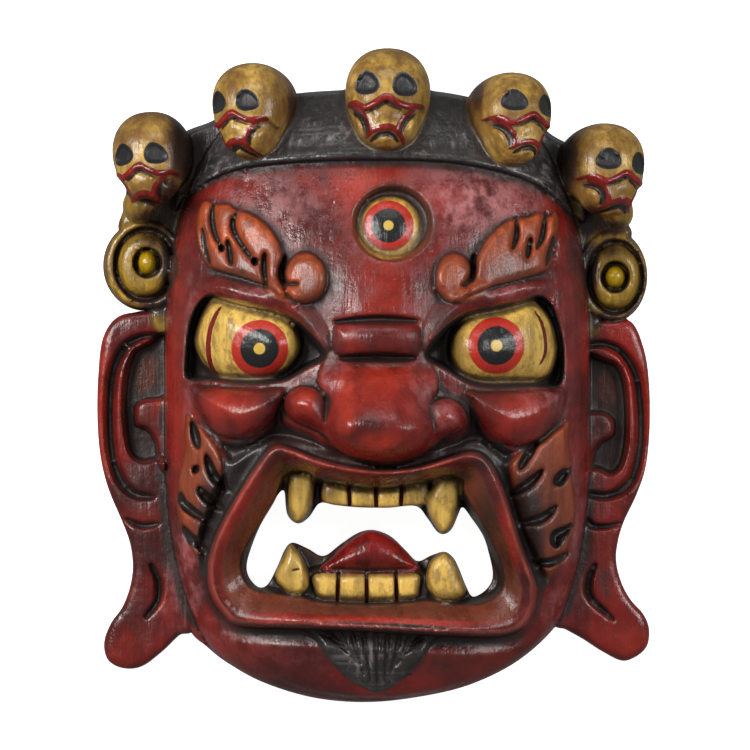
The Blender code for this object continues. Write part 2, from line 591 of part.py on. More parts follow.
def hollow_ceiling(relief, cell):
    """How high the hollow reaches: a wall's thickness below the lowest carving near each place."""
    rim = RIM_WIDTH / UNIT
    radii = (DOME_RADII[0] - rim, DOME_RADII[1] - rim)
    radius = oval_radius((*DOME_CENTRE, *radii), relief.x, relief.y, HOLLOW_SQUARENESS)
    cells = round(HOLLOW_REACH / cell)
    top = near(near(relief.z, cells, np.min), cells, np.mean) - WALL / UNIT
    rise = np.clip(1 - radius**HOLLOW_SQUARENESS, 0, 1) ** HOLLOW_ROUND
    return np.where(radius < 1, top * rise, -2 * SAW_ALLOWANCE)


def turned(skull, x, y, z):
    """Plan places in the skull's own axes: its right, its up and the way it faces."""
    yaw, pitch, roll = (math.radians(skull[turn]) for turn in ("yaw", "pitch", "roll"))
    cy, sy, cp, sp, cr, sr = (f(a) for a in (yaw, pitch, roll) for f in (math.cos, math.sin))
    about_y = np.array([[cy, 0, sy], [0, 1, 0], [-sy, 0, cy]])
    about_x = np.array([[1, 0, 0], [0, cp, -sp], [0, sp, cp]])
    about_z = np.array([[cr, -sr, 0], [sr, cr, 0], [0, 0, 1]])
    axes = about_z @ about_y @ about_x
    offset = (x - skull["at"][0], y - skull["at"][1], z - skull["depth"] * FACE)
    return [sum(offset[i] * axes[i, k] for i in range(3)) / skull["size"] for k in range(3)]


def ellipsoid(p, radii, squareness=2.0):
    """The distance from an ellipsoid about the origin, along the line through it."""
    share = sum(np.abs(c / r) ** squareness for c, r in zip(p, radii)) ** (1 / squareness)
    return np.sqrt(sum(c**2 for c in p)) * (1 - 1 / np.maximum(share, 1e-3))


def skull_field(skull, x, y, z):
    """A cranium, deeper behind than in front, and a jaw, with eye sockets and creased cheeks and mouth."""
    u, v, w = turned(skull, x, y, z)
    depth = np.where(w > 0, CRANIUM_FRONT, CRANIUM_BACK)
    cranium = ellipsoid((u, v, w), (*CRANIUM, depth), CRANIUM_SQUARENESS)
    bone = join(cranium, ellipsoid((u, v - JAW_AT[1], w - JAW_AT[2]), JAW, CRANIUM_SQUARENESS), 7.0)
    for at_u, at_v in SKULL_SOCKETS:
        socket = np.hypot((u - at_u) / SKULL_SOCKET[0], (v - at_v) / SKULL_SOCKET[1])
        bone += 3.6 * (1 - ease((socket - 0.55) / 0.5)) * (w > 0)
    width, cut_in = SKULL_CREASE
    for crease in SKULL_CREASES:
        gap, _ = from_line(spline(crease, steps=3), u, v)
        bone += cut_in * (1 - ease(gap / width)) * (w > 0)
    return bone * skull["size"]


def wood_field(relief, cell):
    """The field of the whole mask, negative in the wood, and its depths."""
    highest = relief.z.max() + 3 * cell
    depths = np.arange(-SAW_ALLOWANCE - 2 * cell, highest, cell, dtype=np.float32)
    z = depths[None, None, :]
    slopes = np.gradient(relief.z, relief.xs, relief.ys)
    steepness = 1 / np.sqrt(1 + slopes[0] ** 2 + slopes[1] ** 2)
    top = (z - relief.z[..., None].astype(np.float32)) * steepness[..., None].astype(np.float32)
    wood = cut(top, -block_depth(relief)[..., None].astype(np.float32), EDGE_ROUND)
    for skull in SKULLS:
        reach = 44 * skull["size"]
        middle = skull["depth"] * FACE
        part, x, y = relief.window([skull["at"]], reach)
        tall = slice(*np.searchsorted(depths, (middle - reach, middle + reach)))
        bone = skull_field(skull, x[..., None], y[..., None], z[..., tall])
        wood[(*part, tall)] = join(wood[(*part, tall)], bone, 2.0)
        post = np.hypot(x - skull["at"][0], y - skull["at"][1])[..., None] - SKULL_POST * skull["size"]
        low = slice(0, np.searchsorted(depths, middle))
        wood[(*part, low)] = join(wood[(*part, low)], post, SKULL_POST_BLEND)
    for (chin_x, chin_y, chin_z), radii in LONG_CHINS:
        chin = ellipsoid((relief.x[..., None] - chin_x, relief.y[..., None] - chin_y, z - chin_z), radii)
        wood = join(wood, chin.astype(np.float32), 3.0)
    ceiling = hollow_ceiling(relief, cell)
    slopes = np.gradient(ceiling, relief.xs, relief.ys)
    steepness = 1 / np.sqrt(1 + slopes[0] ** 2 + slopes[1] ** 2)
    wood = cut(wood, (ceiling[..., None] - z) * steepness[..., None], 2.0)
    opening = depth_inside(spline(OPENING, closed=True), relief.x, relief.y)
    wood = cut(wood, opening[..., None].astype(np.float32), 1.0)
    return np.maximum(wood, -SAW_ALLOWANCE - z), depths


def is_knot(pattern):
    """Whether a cell with this pattern of corners in the wood would make the surface touch itself."""
    wood = {corner for corner in range(8) if pattern >> corner & 1}
    for part in (wood, set(range(8)) - wood):
        reached = set(list(part)[:1])
        for _ in range(7):
            reached |= {corner ^ bit for corner in reached for bit in (1, 2, 4)} & part
        if reached != part:
            return True
    for bit, other in ((1, 2), (1, 4), (2, 4)):
        for corner in range(8):
            far = corner ^ bit ^ other
            if (corner in wood) == (far in wood) != (corner ^ bit in wood) == (corner ^ other in wood):
                return True
    return False


def corner_views(grid):
    """The grid as each cell's eight corners see it."""
    sides = (np.s_[:-1], np.s_[1:])
    return [grid[sides[i], sides[j], sides[k]] for i in (0, 1) for j in (0, 1) for k in (0, 1)]


def untie(field):
    """Fills the few cells in which the surface would touch itself."""
    knots = np.array([is_knot(pattern) for pattern in range(256)])
    while True:
        pattern = sum(corner.astype(np.uint8) << bit for bit, corner in enumerate(corner_views(field < 0)))
        tied = knots[pattern]
        if not tied.any():
            return
        for corner in corner_views(field):
            corner[tied] = np.minimum(corner[tied], -0.2)


def surface_net(field, axes):
    """The closed surface where the field is 0, as points and quads: one point in each cell it crosses."""
    untie(field)
    inside = field < 0
    count = sum(corner.astype(np.int8) for corner in corner_views(inside))
    cells = np.argwhere((count > 0) & (count < 8))
    number = np.full(count.shape, -1, np.int64)
    number[tuple(cells.T)] = np.arange(len(cells))
    total, hits = np.zeros((len(cells), 3)), np.zeros((len(cells), 1))
    for axis in range(3):
        others = [a for a in range(3) if a != axis]
        for low in ((0, 0), (0, 1), (1, 0), (1, 1)):
            start = np.zeros(3, int)
            start[others] = low
            end = start + np.eye(3, dtype=int)[axis]
            a = field[tuple((cells + start).T)].astype(float)
            b = field[tuple((cells + end).T)].astype(float)
            crossed = (a < 0) != (b < 0)
            share = np.where(crossed, a / np.where(crossed, a - b, 1), 0)
            total += np.where(crossed[:, None], start + share[:, None] * (end - start), 0)
            hits += crossed[:, None]
    places = cells + total / hits
    points = np.column_stack([np.interp(places[:, i], np.arange(len(axes[i])), axes[i]) for i in range(3)])
    quads = []
    for axis in range(3):
        second, third = (axis + 1) % 3, (axis + 2) % 3
        ahead, behind = np.take(inside, range(1, inside.shape[axis]), axis), np.take(
            inside, range(inside.shape[axis] - 1), axis)
        for edges, turn in ((np.argwhere(behind & ~ahead), 1), (np.argwhere(~behind & ahead), -1)):
            step2, step3 = np.eye(3, dtype=int)[second], np.eye(3, dtype=int)[third]
            ring = [edges, edges - step2, edges - step2 - step3, edges - step3][::turn]
            quads.append(np.column_stack([number[tuple(corner.T)] for corner in ring]))
    return points, np.vstack(quads)


def in_metres(points):
    """Plan points in metres, moved in to where they really are: what lies nearer the eye looks larger."""
    eye = EYE_HEIGHT / UNIT
    closer = (eye - points[:, 2:]) / (eye - PLAN_LEVEL)
    return np.column_stack([points[:, :2] * closer, points[:, 2:]]) * UNIT


def make_mask():
    """The mask's object: the field's surface, thinned where it is flat and sawn level at the back."""
    relief = carve_plan(CELL)
    wood, depths = wood_field(relief, CELL)
    points, quads = surface_net(wood, (relief.xs, relief.ys, depths))
    points = in_metres(points)
    middle = (points.min(axis=0) + points.max(axis=0)) / 2
    points[:, :2] -= middle[:2]
    mesh = bpy.data.meshes.new("mask")
    mesh.from_pydata(points.tolist(), [], quads.tolist())
    mesh.update()
    mesh.shade_smooth()
    mask = bpy.data.objects.new("mask", mesh)
    bpy.context.scene.collection.objects.link(mask)
    thin = mask.modifiers.new("thin", "DECIMATE")
    thin.ratio = KEPT_FACES / (2 * len(quads))
    saw = mask.modifiers.new("saw", "BOOLEAN")
    saw.operation = "DIFFERENCE"
    saw.solver = "EXACT"
    saw.object = make_saw()
    return mask


def make_saw():
    """The cutter that takes off everything below the back."""
    bpy.ops.mesh.primitive_cube_add(size=1)
    saw = bpy.context.object
    saw.name = "saw"
    saw.scale = (2 * HEIGHT, 2 * HEIGHT, HEIGHT)
    saw.location = (0, 0, -HEIGHT / 2)
    saw.hide_render = True
    saw.display_type = "WIRE"
    return saw


def lacquer():
    """Red lacquered wood."""
    material = bpy.data.materials.new("lacquered_wood")
    material.use_nodes = True
    shader = material.node_tree.nodes["Principled BSDF"]
    shader.inputs["Base Color"].default_value = FACE_RED
    shader.inputs["Roughness"].default_value = 0.35
    shader.inputs["Metallic"].default_value = 0.0
    return material


def main():
    for old in list(bpy.data.objects):
        bpy.data.objects.remove(old)
    mask = make_mask()
    mask.data.materials.append(lacquer())


main()
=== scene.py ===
"""A carved and lacquered cham mask lying face up on a pale studio floor.

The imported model's one solid is replaced by the same carving at full detail. The plan is drawn as an eye
straight above the mask sees it, in millimetres on a mask of PLAN_HEIGHT, +X to the viewer's right and +Y to
the crown, and depths are measured up from the back. The paint is laid on in the same plan: each colour is a
map of how far inside its edge a place lies, in millimetres, which the material turns into a painted edge.
"""

import math
from types import SimpleNamespace

import bpy
import numpy as np
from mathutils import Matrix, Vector

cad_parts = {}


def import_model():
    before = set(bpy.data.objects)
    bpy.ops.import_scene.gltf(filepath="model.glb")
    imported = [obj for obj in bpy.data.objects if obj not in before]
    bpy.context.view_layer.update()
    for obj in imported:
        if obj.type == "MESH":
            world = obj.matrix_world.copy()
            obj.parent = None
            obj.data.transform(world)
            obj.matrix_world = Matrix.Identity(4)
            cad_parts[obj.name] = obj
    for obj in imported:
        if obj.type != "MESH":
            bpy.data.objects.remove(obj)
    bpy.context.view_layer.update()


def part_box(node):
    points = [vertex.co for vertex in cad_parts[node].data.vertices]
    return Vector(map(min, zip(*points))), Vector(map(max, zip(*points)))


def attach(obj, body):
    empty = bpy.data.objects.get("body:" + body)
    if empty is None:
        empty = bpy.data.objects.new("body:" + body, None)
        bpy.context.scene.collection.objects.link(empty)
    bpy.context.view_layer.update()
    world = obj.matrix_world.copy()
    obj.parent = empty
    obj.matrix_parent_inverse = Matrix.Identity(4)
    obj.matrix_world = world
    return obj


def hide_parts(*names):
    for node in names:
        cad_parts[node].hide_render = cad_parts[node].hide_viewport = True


# Sizes in metres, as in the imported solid
HEIGHT = 0.340
FACE_DEPTH = 0.078
NOSE_STAND = 0.032
EAR_DEPTH = 0.021
BAND_THICKNESS = 0.006
WALL = 0.012
RIM_WIDTH = 0.019
EYE_HEIGHT = 1.30

# The plan's own unit, the level at which it is drawn to scale, and where the eye is over it
PLAN_HEIGHT = 340.0
UNIT = HEIGHT / PLAN_HEIGHT
FACE = FACE_DEPTH / UNIT
EAR = EAR_DEPTH / UNIT
PLAN_LEVEL = 20.0
PLAN_EYE = (0.78, -0.52)
PLAN_EDGE = (152.0, 180.0)

# The mesh: the field's cell in plan units, and the triangles kept once flat places are thinned out
CELL = 1.0
KEPT_TRIANGLES = 190000

# Face: the outline of the block, and the dome that the features are carved on
FACE_OUTLINE = [
    (-107, 60), (-107, -60), (-107, -88), (-103, -110), (-96, -133), (-87, -142), (-77, -150), (-58, -160.5),
    (-32, -168.5), (-5, -171), (22, -168.5), (50, -162), (76, -149), (96, -130), (105, -110), (109.5, -88),
    (111, -60), (111, 60), (106, 105), (78, 132), (40, 143), (-30, 144), (-72, 134), (-101, 105),
]
DOME_CENTRE = (2, -12)
DOME_RADII = (111, 168)
DOME_SQUARENESS = 2.8
DOME_STEP = 3.0
DOME_FALL = 2.5
DOME_ROUND = 0.60
EDGE_ROUND = 5.0

# Headband: a raised strip from temple to temple
BAND_OUTLINE = [
    (-104, 84), (-96, 93), (-80, 103), (-60, 108), (-30, 110.5), (0, 111), (30, 110.5), (55, 107.5),
    (80, 100.5), (95, 91), (110, 78), (111, 98), (106, 116), (94, 124), (78, 134), (57, 142.5), (31, 147.5),
    (0, 148.5), (-38, 146.5), (-60, 142), (-85, 131.5), (-100, 124), (-103, 104),
]

# Ears: each one's outline, and the rim groove, bowl, tragus and creases carved in it
EARS = {
    "left": {
        "outline": [
            (-100, 36), (-118, 33), (-133, 30), (-141, 19), (-143.5, 0), (-144, -22), (-142.5, -42),
            (-138.5, -59), (-131, -77), (-127, -88), (-125.5, -100), (-127, -111), (-131, -121.5),
            (-137, -130), (-140.5, -140), (-138.5, -149), (-131, -153.2), (-121, -152.5), (-110, -144.5),
            (-101, -136), (-94, -133), (-90, -110), (-95, -60), (-95, 0),
        ],
        "rim": [
            (-110, 20), (-121, 19), (-130, 13), (-136, 0), (-137.5, -20), (-136.5, -40), (-132.5, -54),
            (-125, -62.5), (-115, -64),
        ],
        "bowl": [
            (-98, 20), (-122, 16), (-129, 7), (-132, -10), (-131.5, -28), (-128.5, -42), (-121, -47.5),
            (-112, -46), (-98, -44),
        ],
        "tragus": [
            (-96, -10), (-113, -12.5), (-121, -13.5), (-124.5, -18), (-124, -26.5), (-118, -29.5),
            (-114, -36), (-112.5, -45), (-108, -52), (-96, -54),
        ],
        "crease": [(-129, -75.5), (-121, -79), (-112, -78)],
        "lobe_crease": [(-116, -99), (-112, -108), (-112.5, -118), (-119, -127)],
    },
    "right": {
        "outline": [
            (103, 30), (120, 28), (134, 27.5), (141, 13), (143.7, -5), (144, -28), (142, -48), (137.5, -62),
            (130.5, -77), (127.5, -87), (126.5, -97), (129, -108), (134, -117.5), (141, -125.5),
            (143.8, -134), (141.5, -143.5), (131, -149.5), (120, -145), (109, -138), (100, -133), (94, -130),
            (92, -110), (97, -60), (97, 0),
        ],
        "rim": [
            (112, 15), (121, 15.5), (130, 10.5), (137, -2), (139.3, -20), (139, -38), (135.5, -53),
            (129, -60.5), (121, -63.5), (112, -62.5),
        ],
        "bowl": [
            (98, 10), (122, 9), (131, 2), (134, -14), (134, -34), (131, -48), (124, -54), (116, -51),
            (98, -46),
        ],
        "tragus": [
            (98, -16), (113, -19), (121, -20), (125.5, -25), (125, -32), (119.5, -35.5), (115.5, -41),
            (114.5, -48), (110, -54), (98, -57),
        ],
        "crease": [(111, -75.5), (114, -79), (121, -79.5), (129, -77.5)],
        "lobe_crease": [(115.5, -99), (112, -108), (113.5, -117), (125, -128)],
    },
}
EAR_RIM_GROOVE = (4.6, 8.0)
EAR_BOWL_DROP = 11.0

# Ear discs: oval centre and radii of the plate, then of the ring, the pit and the bead on it
DISCS = [
    {
        "plate": (-119.5, 56.5, 21.5, 23.5), "ring": (-119, 57, 14.5, 17), "pit": (-118, 58, 8, 8.5),
        "bead": (-118, 58, 5.2, 6.7),
    },
    {
        "plate": (124.5, 51, 18.3, 24), "ring": (126, 50.5, 13, 17), "pit": (126, 50.5, 8, 8.8),
        "bead": (126, 50.5, 5.4, 6.2),
    },
]
DISC_NECKS = [
    [(-131, 84), (-132, 72), (-116, 45), (-116, 25), (-98, 25), (-92, 110), (-112, 116), (-124, 100)],
    [(132, 80), (134, 70), (118, 45), (118, 22), (98, 22), (98, 104), (116, 110), (127, 96)],
]

# Eyes: the opening between the lids, the ball's outline in it, and the fold of the upper lid
EYES = [
    {
        "opening": [
            (-24, 10), (-37, 26), (-50, 32.5), (-65, 35.5), (-76, 38.5), (-84, 42), (-91, 38.5), (-96.5, 27),
            (-98.5, 10), (-97.5, -3), (-82, -3.8), (-60, -5.2), (-46, -4), (-35, 2),
        ],
        "ball": [
            (-93.6, 19), (-90, 31), (-84, 39.5), (-73, 39.5), (-59, 36.2), (-48.5, 32.5), (-41.5, 27),
            (-38, 18.5), (-39.2, 10), (-46.5, 1.2), (-59, -3.6), (-79, -2.6), (-87.5, 4), (-92.4, 12),
        ],
        "lid": [(-25, 14), (-36, 30), (-50, 38), (-65, 41), (-77, 44.5), (-90, 46)],
    },
    {
        "opening": [
            (26, 10), (37, 25), (50, 32.5), (65, 36), (77, 38), (86, 41.5), (94, 36), (98.5, 22), (100, 6),
            (97, -7), (80, -6.5), (60, -6.8), (49, -5), (37, 2),
        ],
        "ball": [
            (40, 14.5), (41.5, 22), (47.5, 29.5), (55, 32.5), (66, 34.2), (79, 38.5), (86.5, 36.5),
            (92.5, 29), (95.8, 19), (96, 9), (92.5, 0), (86, -4.3), (74, -5.2), (56, -4.8), (45.5, 0),
            (41, 7),
        ],
        "lid": [(28, 14), (37, 30), (50, 38), (65, 41), (77, 44), (91, 45.5)],
    },
]
SOCKET_DROP = 14.0
BALL_RISE = 20.0
BALL_EDGE = 19.0

# Third eye: the recess and the ball
THIRD_RECESS = (10, 78.5, 22, 20.5)
THIRD_BALL = (8.5, 76, 17.5, 17)

# Brows: flame-shaped plates that end in a curl beside the nose
BROWS = [
    {
        "plate": [
            (-46, 39), (-54, 45), (-68, 50), (-84, 55), (-90, 63), (-92.5, 74), (-91.5, 85), (-88, 90.5),
            (-82, 88.5), (-76, 88.8), (-71, 85.5), (-66, 84.5), (-58, 80), (-51, 72), (-47, 62), (-49, 52),
        ],
        "curl": (-35.5, 50, 11.2, 13.4),
        "curl_groove": [(-46.5, 61), (-48, 55), (-47.4, 50), (-44, 46.8), (-39, 47)],
        "grooves": [
            [(-83.2, 89), (-84, 81), (-82.5, 73), (-79.4, 66)],
            [(-71.2, 84.5), (-73.2, 78), (-70.5, 70), (-62, 58.5)], [(-89, 76), (-88, 66), (-85, 57)],
            [(-76, 70), (-75, 64), (-73.8, 57)], [(-56.5, 63), (-57, 55), (-55.5, 45)],
        ],
    },
    {
        "plate": [
            (48, 41), (60, 45), (76, 49), (90, 54), (94, 64), (96.5, 78), (95, 84.5), (91.5, 82), (86, 84.2),
            (80, 81.5), (72, 80.5), (65, 76.5), (58, 69), (53.5, 60), (52, 51),
        ],
        "curl": (42, 50, 9.8, 13.2), "curl_groove": [(52.5, 62), (52, 54), (49, 47.5), (46, 46)],
        "grooves": [
            [(74.5, 80.5), (74.5, 72), (72.5, 65)], [(89.5, 83), (88, 72), (85, 65)], [(82, 71), (80, 60)],
            [(94, 72), (90, 56)],
        ],
    },
]
BROW_RISE = 7.5

# Nose: a wedge that widens and rises to its tip, a wing each side and a fold across the bridge
NOSE_OUTLINE = [
    (-20, 12), (2, 13), (24, 12), (31, 4), (34, -6), (31, -16), (32.3, -30), (28.5, -39.5), (19, -46),
    (7.5, -48.7), (-4, -46.8), (-15, -42), (-22.8, -35), (-25.8, -26), (-24.6, -14), (-29, -5), (-27, 4),
]
NOSE_TOP_Y = 9.0
NOSE_TIP_Y = -30.0
NOSE_EDGE = 23.0
NOSE_ROOT = 4.0
FOREHEAD = (3, 30, 46, 66)
FOREHEAD_RISE = 7.0
NOSE_WINGS = [
    [
        (-47, -16), (-44.5, -10), (-37.5, -6.5), (-30, -7.5), (-25, -12), (-22, -22), (-20, -36),
        (-28, -30.5), (-36, -27), (-43.5, -23),
    ],
    [
        (27, -18), (31, -13.5), (38, -12.5), (44.5, -15), (48.6, -21.5), (47.5, -28.5), (42, -31.5),
        (35, -34.5), (28, -39),
    ],
]
BRIDGE_FOLD = [
    (-21, 20), (-18, 25.5), (2, 26.5), (21, 25.5), (25, 20), (24.5, 14), (21, 9.5), (2, 9), (-17, 9.5),
    (-21, 13.5),
]
BRIDGE_RISE = 5.5
BRIDGE_CREASES = [[(-20, 27), (2, 28.5), (23, 27.5)], [(-17, 8.3), (2, 8.8), (22, 8.3)]]

# Cheeks: a bag under each eye, and the flame-shaped whisker plates below them
CHEEK_BAGS = [
    [
        (-97.5, -5.5), (-86, -6.5), (-72, -7.5), (-58, -8), (-47, -7.5), (-48, -16), (-53, -25), (-62, -31.5),
        (-72, -34), (-82, -30.5), (-90, -21),
    ],
    [
        (48, -9), (60, -9.5), (74, -9), (88, -8.5), (99.5, -8), (99, -18), (92, -29.5), (83, -35.5),
        (74, -37.5), (64, -34.5), (56, -25), (51, -15),
    ],
]
CHEEK_HOLLOWS = [
    [
        (-50, -12), (-46, -22), (-38, -28), (-28, -33), (-22, -41), (-40, -37), (-52, -36), (-60, -40),
        (-74, -48), (-80, -40), (-84, -33), (-72, -35), (-60, -31), (-53, -23),
    ],
    [
        (51, -12), (49, -24), (44, -32), (36, -36), (28, -42), (42, -40), (54, -37), (60, -41), (69, -48),
        (76, -40), (72, -38.5), (63, -34), (56, -25),
    ],
]
CHEEK_HOLLOW = 6.0
WHISKERS = [
    {
        "plate": [
            (-97.5, -20), (-91, -26), (-84, -33), (-78, -44), (-78, -57), (-82, -70), (-87, -84), (-88, -100),
            (-96, -90), (-101, -80), (-103, -66), (-101.5, -52), (-98.5, -40), (-98.8, -30),
        ],
        "grooves": [
            [(-94.5, -25), (-92.8, -32), (-91, -39)], [(-87, -42), (-84, -51), (-77, -59)],
            [(-101, -61), (-98, -69), (-87, -77)], [(-91, -59), (-86, -65), (-79, -70)],
            [(-99.5, -79), (-95, -86), (-89, -92)], [(-94, -49), (-91, -50.5)],
        ],
    },
    {
        "plate": [
            (102, -24), (94, -29), (86, -35.5), (77, -40), (71, -46), (70, -56), (73, -69), (77, -82),
            (83, -95), (90, -107), (97, -100.5), (102, -91), (105, -80), (105.8, -68), (104.5, -56),
            (102.8, -44), (102, -34),
        ],
        "grooves": [
            [(85, -36), (80, -43), (76, -50)], [(101, -49), (97, -54), (94, -58)],
            [(88, -50), (81, -57), (71, -63)], [(95, -69), (88, -75), (77, -78)],
            [(104, -79), (95, -84), (95, -90)], [(101, -93), (93, -98), (83, -98)],
        ],
    },
]
WHISKER_RISE = 5.0
WHISKER_GROOVE = (3.6, 5.5)

# Mouth: the outer edge of the lips, their inner edge, and the opening that goes right through
LIPS = [
    (0, -51), (-18, -48.5), (-31, -45), (-42, -40.5), (-50, -38.5), (-56, -43), (-66, -58), (-75.5, -74),
    (-82.5, -89), (-85, -102), (-83, -115), (-77, -124), (-69, -129.5), (-40, -130.7), (0, -132.3),
    (30, -134), (60, -135), (74, -132.5), (81, -125), (83.3, -112), (81, -103), (76, -91), (70.5, -73),
    (64.5, -56), (58, -45), (50, -42), (42, -44), (30, -48), (16, -50.7),
]
GUMS = [
    (-47, -51), (-38, -49.5), (-29, -53), (-14, -55.7), (0, -57), (15, -56.2), (28, -53.8), (38, -52),
    (47.5, -53.5), (49, -62), (57, -76), (62.5, -86), (66.5, -95), (69.5, -105), (67.5, -114), (59, -120),
    (48, -121.5), (28, -119.5), (8, -119), (-12, -119), (-30, -118.5), (-45, -116.5), (-56, -115.5),
    (-65, -112.5), (-70, -105), (-70.5, -97), (-67.5, -89), (-60.5, -78), (-53.5, -67),
]
OPENING = [
    (-46.5, -61), (-45, -73), (-39.5, -78), (-33.5, -74.5), (-28, -67.3), (-20, -68.3), (-8, -69.5),
    (8, -69.7), (22, -68.8), (28, -75), (33, -82), (37, -83.5), (41, -80.5), (44.5, -72.5), (46.5, -69.3),
    (51, -75), (57, -84), (60, -93), (62.2, -105), (59, -112), (52, -116), (48.5, -111), (44.5, -101),
    (41.5, -95.5), (37, -92.5), (30, -94.5), (23, -97.5), (17, -92), (9, -84.5), (0, -81.2), (-8, -82.7),
    (-17, -88.5), (-26, -94.8), (-34, -91), (-42, -87.8), (-46, -91), (-50, -100), (-55, -109.5), (-60, -111),
    (-65, -105.5), (-66, -99), (-63.5, -90), (-59, -79), (-52.5, -68), (-49.5, -62.5),
]
LIP_RISE = 17.0
GUM_DROP = 28.0
FANGS = [
    (
        [
            (-46, -51), (-38, -49.5), (-30.5, -53), (-31, -66), (-34, -74), (-39.5, -78.5), (-44.5, -73.5),
            (-46, -62),
        ],
        17,
    ),
    (
        [
            (33, -53), (40, -52), (46.5, -54), (46, -66), (42.5, -78), (37, -84), (31.5, -79), (27, -69),
            (29, -60),
        ],
        17,
    ),
    (
        [
            (-51.5, -105), (-47.5, -95), (-43.5, -88), (-37, -95), (-33.5, -104), (-34, -112), (-40, -116),
            (-48, -112),
        ],
        17,
    ),
    (
        [
            (27, -106), (29.5, -97), (37, -92), (42, -96), (46.5, -106), (48.5, -114), (43, -118.5),
            (35, -119), (29, -114),
        ],
        17,
    ),
]
TEETH = [
    {
        "row": [
            (-26, -56), (-12, -58), (2, -59), (15, -58), (28, -56), (29, -66), (23, -70), (2, -71.5),
            (-18, -70.5), (-27, -68),
        ],
        "gaps": [[(-12.8, -56), (-12.2, -72)], [(1.2, -56), (1.6, -73)], [(14.8, -56), (14.2, -73)]],
    },
    {
        "row": [
            (-31, -104), (-16, -103.5), (-3, -103.3), (12, -103.5), (24, -104), (24.5, -112), (21, -117.5),
            (-3, -119), (-26, -118), (-31.5, -112),
        ],
        "gaps": [[(-18.3, -103), (-18.8, -119)], [(-3.6, -103), (-3.4, -120)], [(11.6, -103), (12.2, -119)]],
    },
]
TOOTH_RISE = 12.0
TOOTH_GAP = (2.0, 5.0)
TOOTH_SHELF = [(-33, -100), (0, -101.5), (25, -99), (27, -119), (-33, -119)]
TONGUE = [(-25, -103), (-21, -94), (-11, -85.5), (-1, -81), (9, -84.5), (17, -91.5), (22, -103)]

# Chin and beard
CHIN = (1, -148, 58, 21)
BEARD = [
    (-33, -130), (-28, -142), (-20, -152.5), (-10, -161), (2, -166), (12, -161.5), (23, -152), (31, -141),
    (37, -132),
]

# Skulls along the crown: plan place, the middle's depth as a share of the face's, size, turns in degrees
SKULLS = [
    {"at": (-115.8, 115.5), "depth": 0.5, "size": 0.93, "yaw": -13, "pitch": -9, "roll": 4},
    {"at": (-63, 140.5), "depth": 0.69, "size": 0.95, "yaw": -22, "pitch": -9, "roll": 5},
    {"at": (7.5, 146.5), "depth": 0.77, "size": 1.03, "yaw": 0, "pitch": -6, "roll": -1},
    {"at": (72, 136), "depth": 0.675, "size": 0.93, "yaw": 27, "pitch": -10, "roll": -7},
    {"at": (120.5, 109.5), "depth": 0.475, "size": 0.93, "yaw": 28, "pitch": -9, "roll": -6},
]
CRANIUM = (21.2, 22.5)
CRANIUM_FRONT = 23.0
CRANIUM_BACK = 38.0
CRANIUM_SQUARENESS = 2.25
JAW_AT = (0.0, -16.5, 6.5)
JAW = (15.8, 14.5, 16.5)
SKULL_POST = 16.0
SKULL_POST_BLEND = 9.0
SKULL_REACH = 44.0

# The long chins of the outermost skulls, which rest on the ear discs: centre and radii
LONG_CHINS = [((-122.3, 87.5, 37), (8.5, 9.5, 13.5)), ((127.5, 84, 35), (8, 9, 13))]

# Hollow: its plan, how it narrows from the back up, and how far round it keeps its wall
HOLLOW_SQUARENESS = 2.6
HOLLOW_ROUND = 0.5
HOLLOW_REACH = 8.5

# Skull faces, in the skull's own millimetres: eyes, brow, painted lines, and the raised parts between them
SKULL_EDGE = (32.0, 36.0)
SKULL_CELL = 0.5
SKULL_EYES = [
    [
        (-3.6, 0.8), (-4.6, 4.2), (-8, 7.6), (-11.6, 8.6), (-15, 6), (-17, 1.5), (-16.2, -1.8), (-12.4, -3.6),
        (-7, -3), (-4.4, -1),
    ],
    [
        (3.4, 0.5), (4.2, 4.5), (7.2, 7.6), (10.8, 7.6), (14.8, 4.8), (17, 0.5), (16, -2.6), (12, -4.2),
        (6.5, -3.8), (4, -1.5),
    ],
]
SKULL_BROW = [
    (-22, -8.5), (-17, -8.3), (-11.6, -11), (-6.5, -9), (0, -5.5), (5.5, -8), (11.5, -10.2), (22, -9),
]
SKULL_LINES = [
    (
        [
            (-21.2, -8.2), (-17, -7.6), (-11.6, -10.4), (-6.5, -8.4), (0, -4.8), (5.1, -7.2), (11.2, -9.4),
            (16, -9), (20.5, -8.6),
        ],
        1.9,
    ),
    ([(-18.2, -9.4), (-13.6, -12.4), (-10, -16.6), (-8.8, -21), (-9.2, -24.4)], 1.4),
    ([(15.2, -10.9), (9.7, -15.4), (7.3, -19.4), (7, -23)], 1.5),
    ([(-10.6, -24.8), (-6.5, -21.8), (0, -20), (4.6, -20.8), (8.2, -24.1), (10.2, -27.7)], 1.7),
]
SKULL_PLATES = [
    ([(-8, -9.5), (0, -6.5), (8, -9.8), (6.2, -17.6), (0, -17.2), (-6.8, -18.6)], 0.8, 4.2),
    ([(-21, -12), (-14.5, -13.5), (-11, -18), (-11, -26), (-16, -25), (-19.5, -19)], 1.4, 4.6),
    ([(21, -12), (14.5, -13.5), (10.5, -18), (10.5, -26), (16, -25), (19.5, -19)], 1.4, 4.6),
    ([(-6.5, -26), (0, -22.6), (6.5, -26), (4.5, -31.5), (-4.5, -31.5)], 0.8, 3.6),
]
# Painted shade: dark strokes in the grooves beside and below the red lines, as (points, half width)
SKULL_SHADES = [
    ([(-17.5, -11.5), (-13.6, -14.6), (-11.2, -19), (-10.6, -23)], 1.5),
    ([(16, -12.6), (11.8, -16.2), (9.4, -20), (9, -23)], 1.1),
    ([(-8, -26.6), (-4.5, -24.4), (0, -23.2), (3.6, -24), (7, -27)], 1.5),
    ([(-9, -12.2), (-5, -10.6), (0, -7.6), (4, -9.6), (9, -11.8)], 0.8),
]
# Painted shade on the skulls' sides: where it starts along the skull's facing axis, and over how far it
# deepens
SKULL_SIDE_SHADE = (4.0, 12.0)
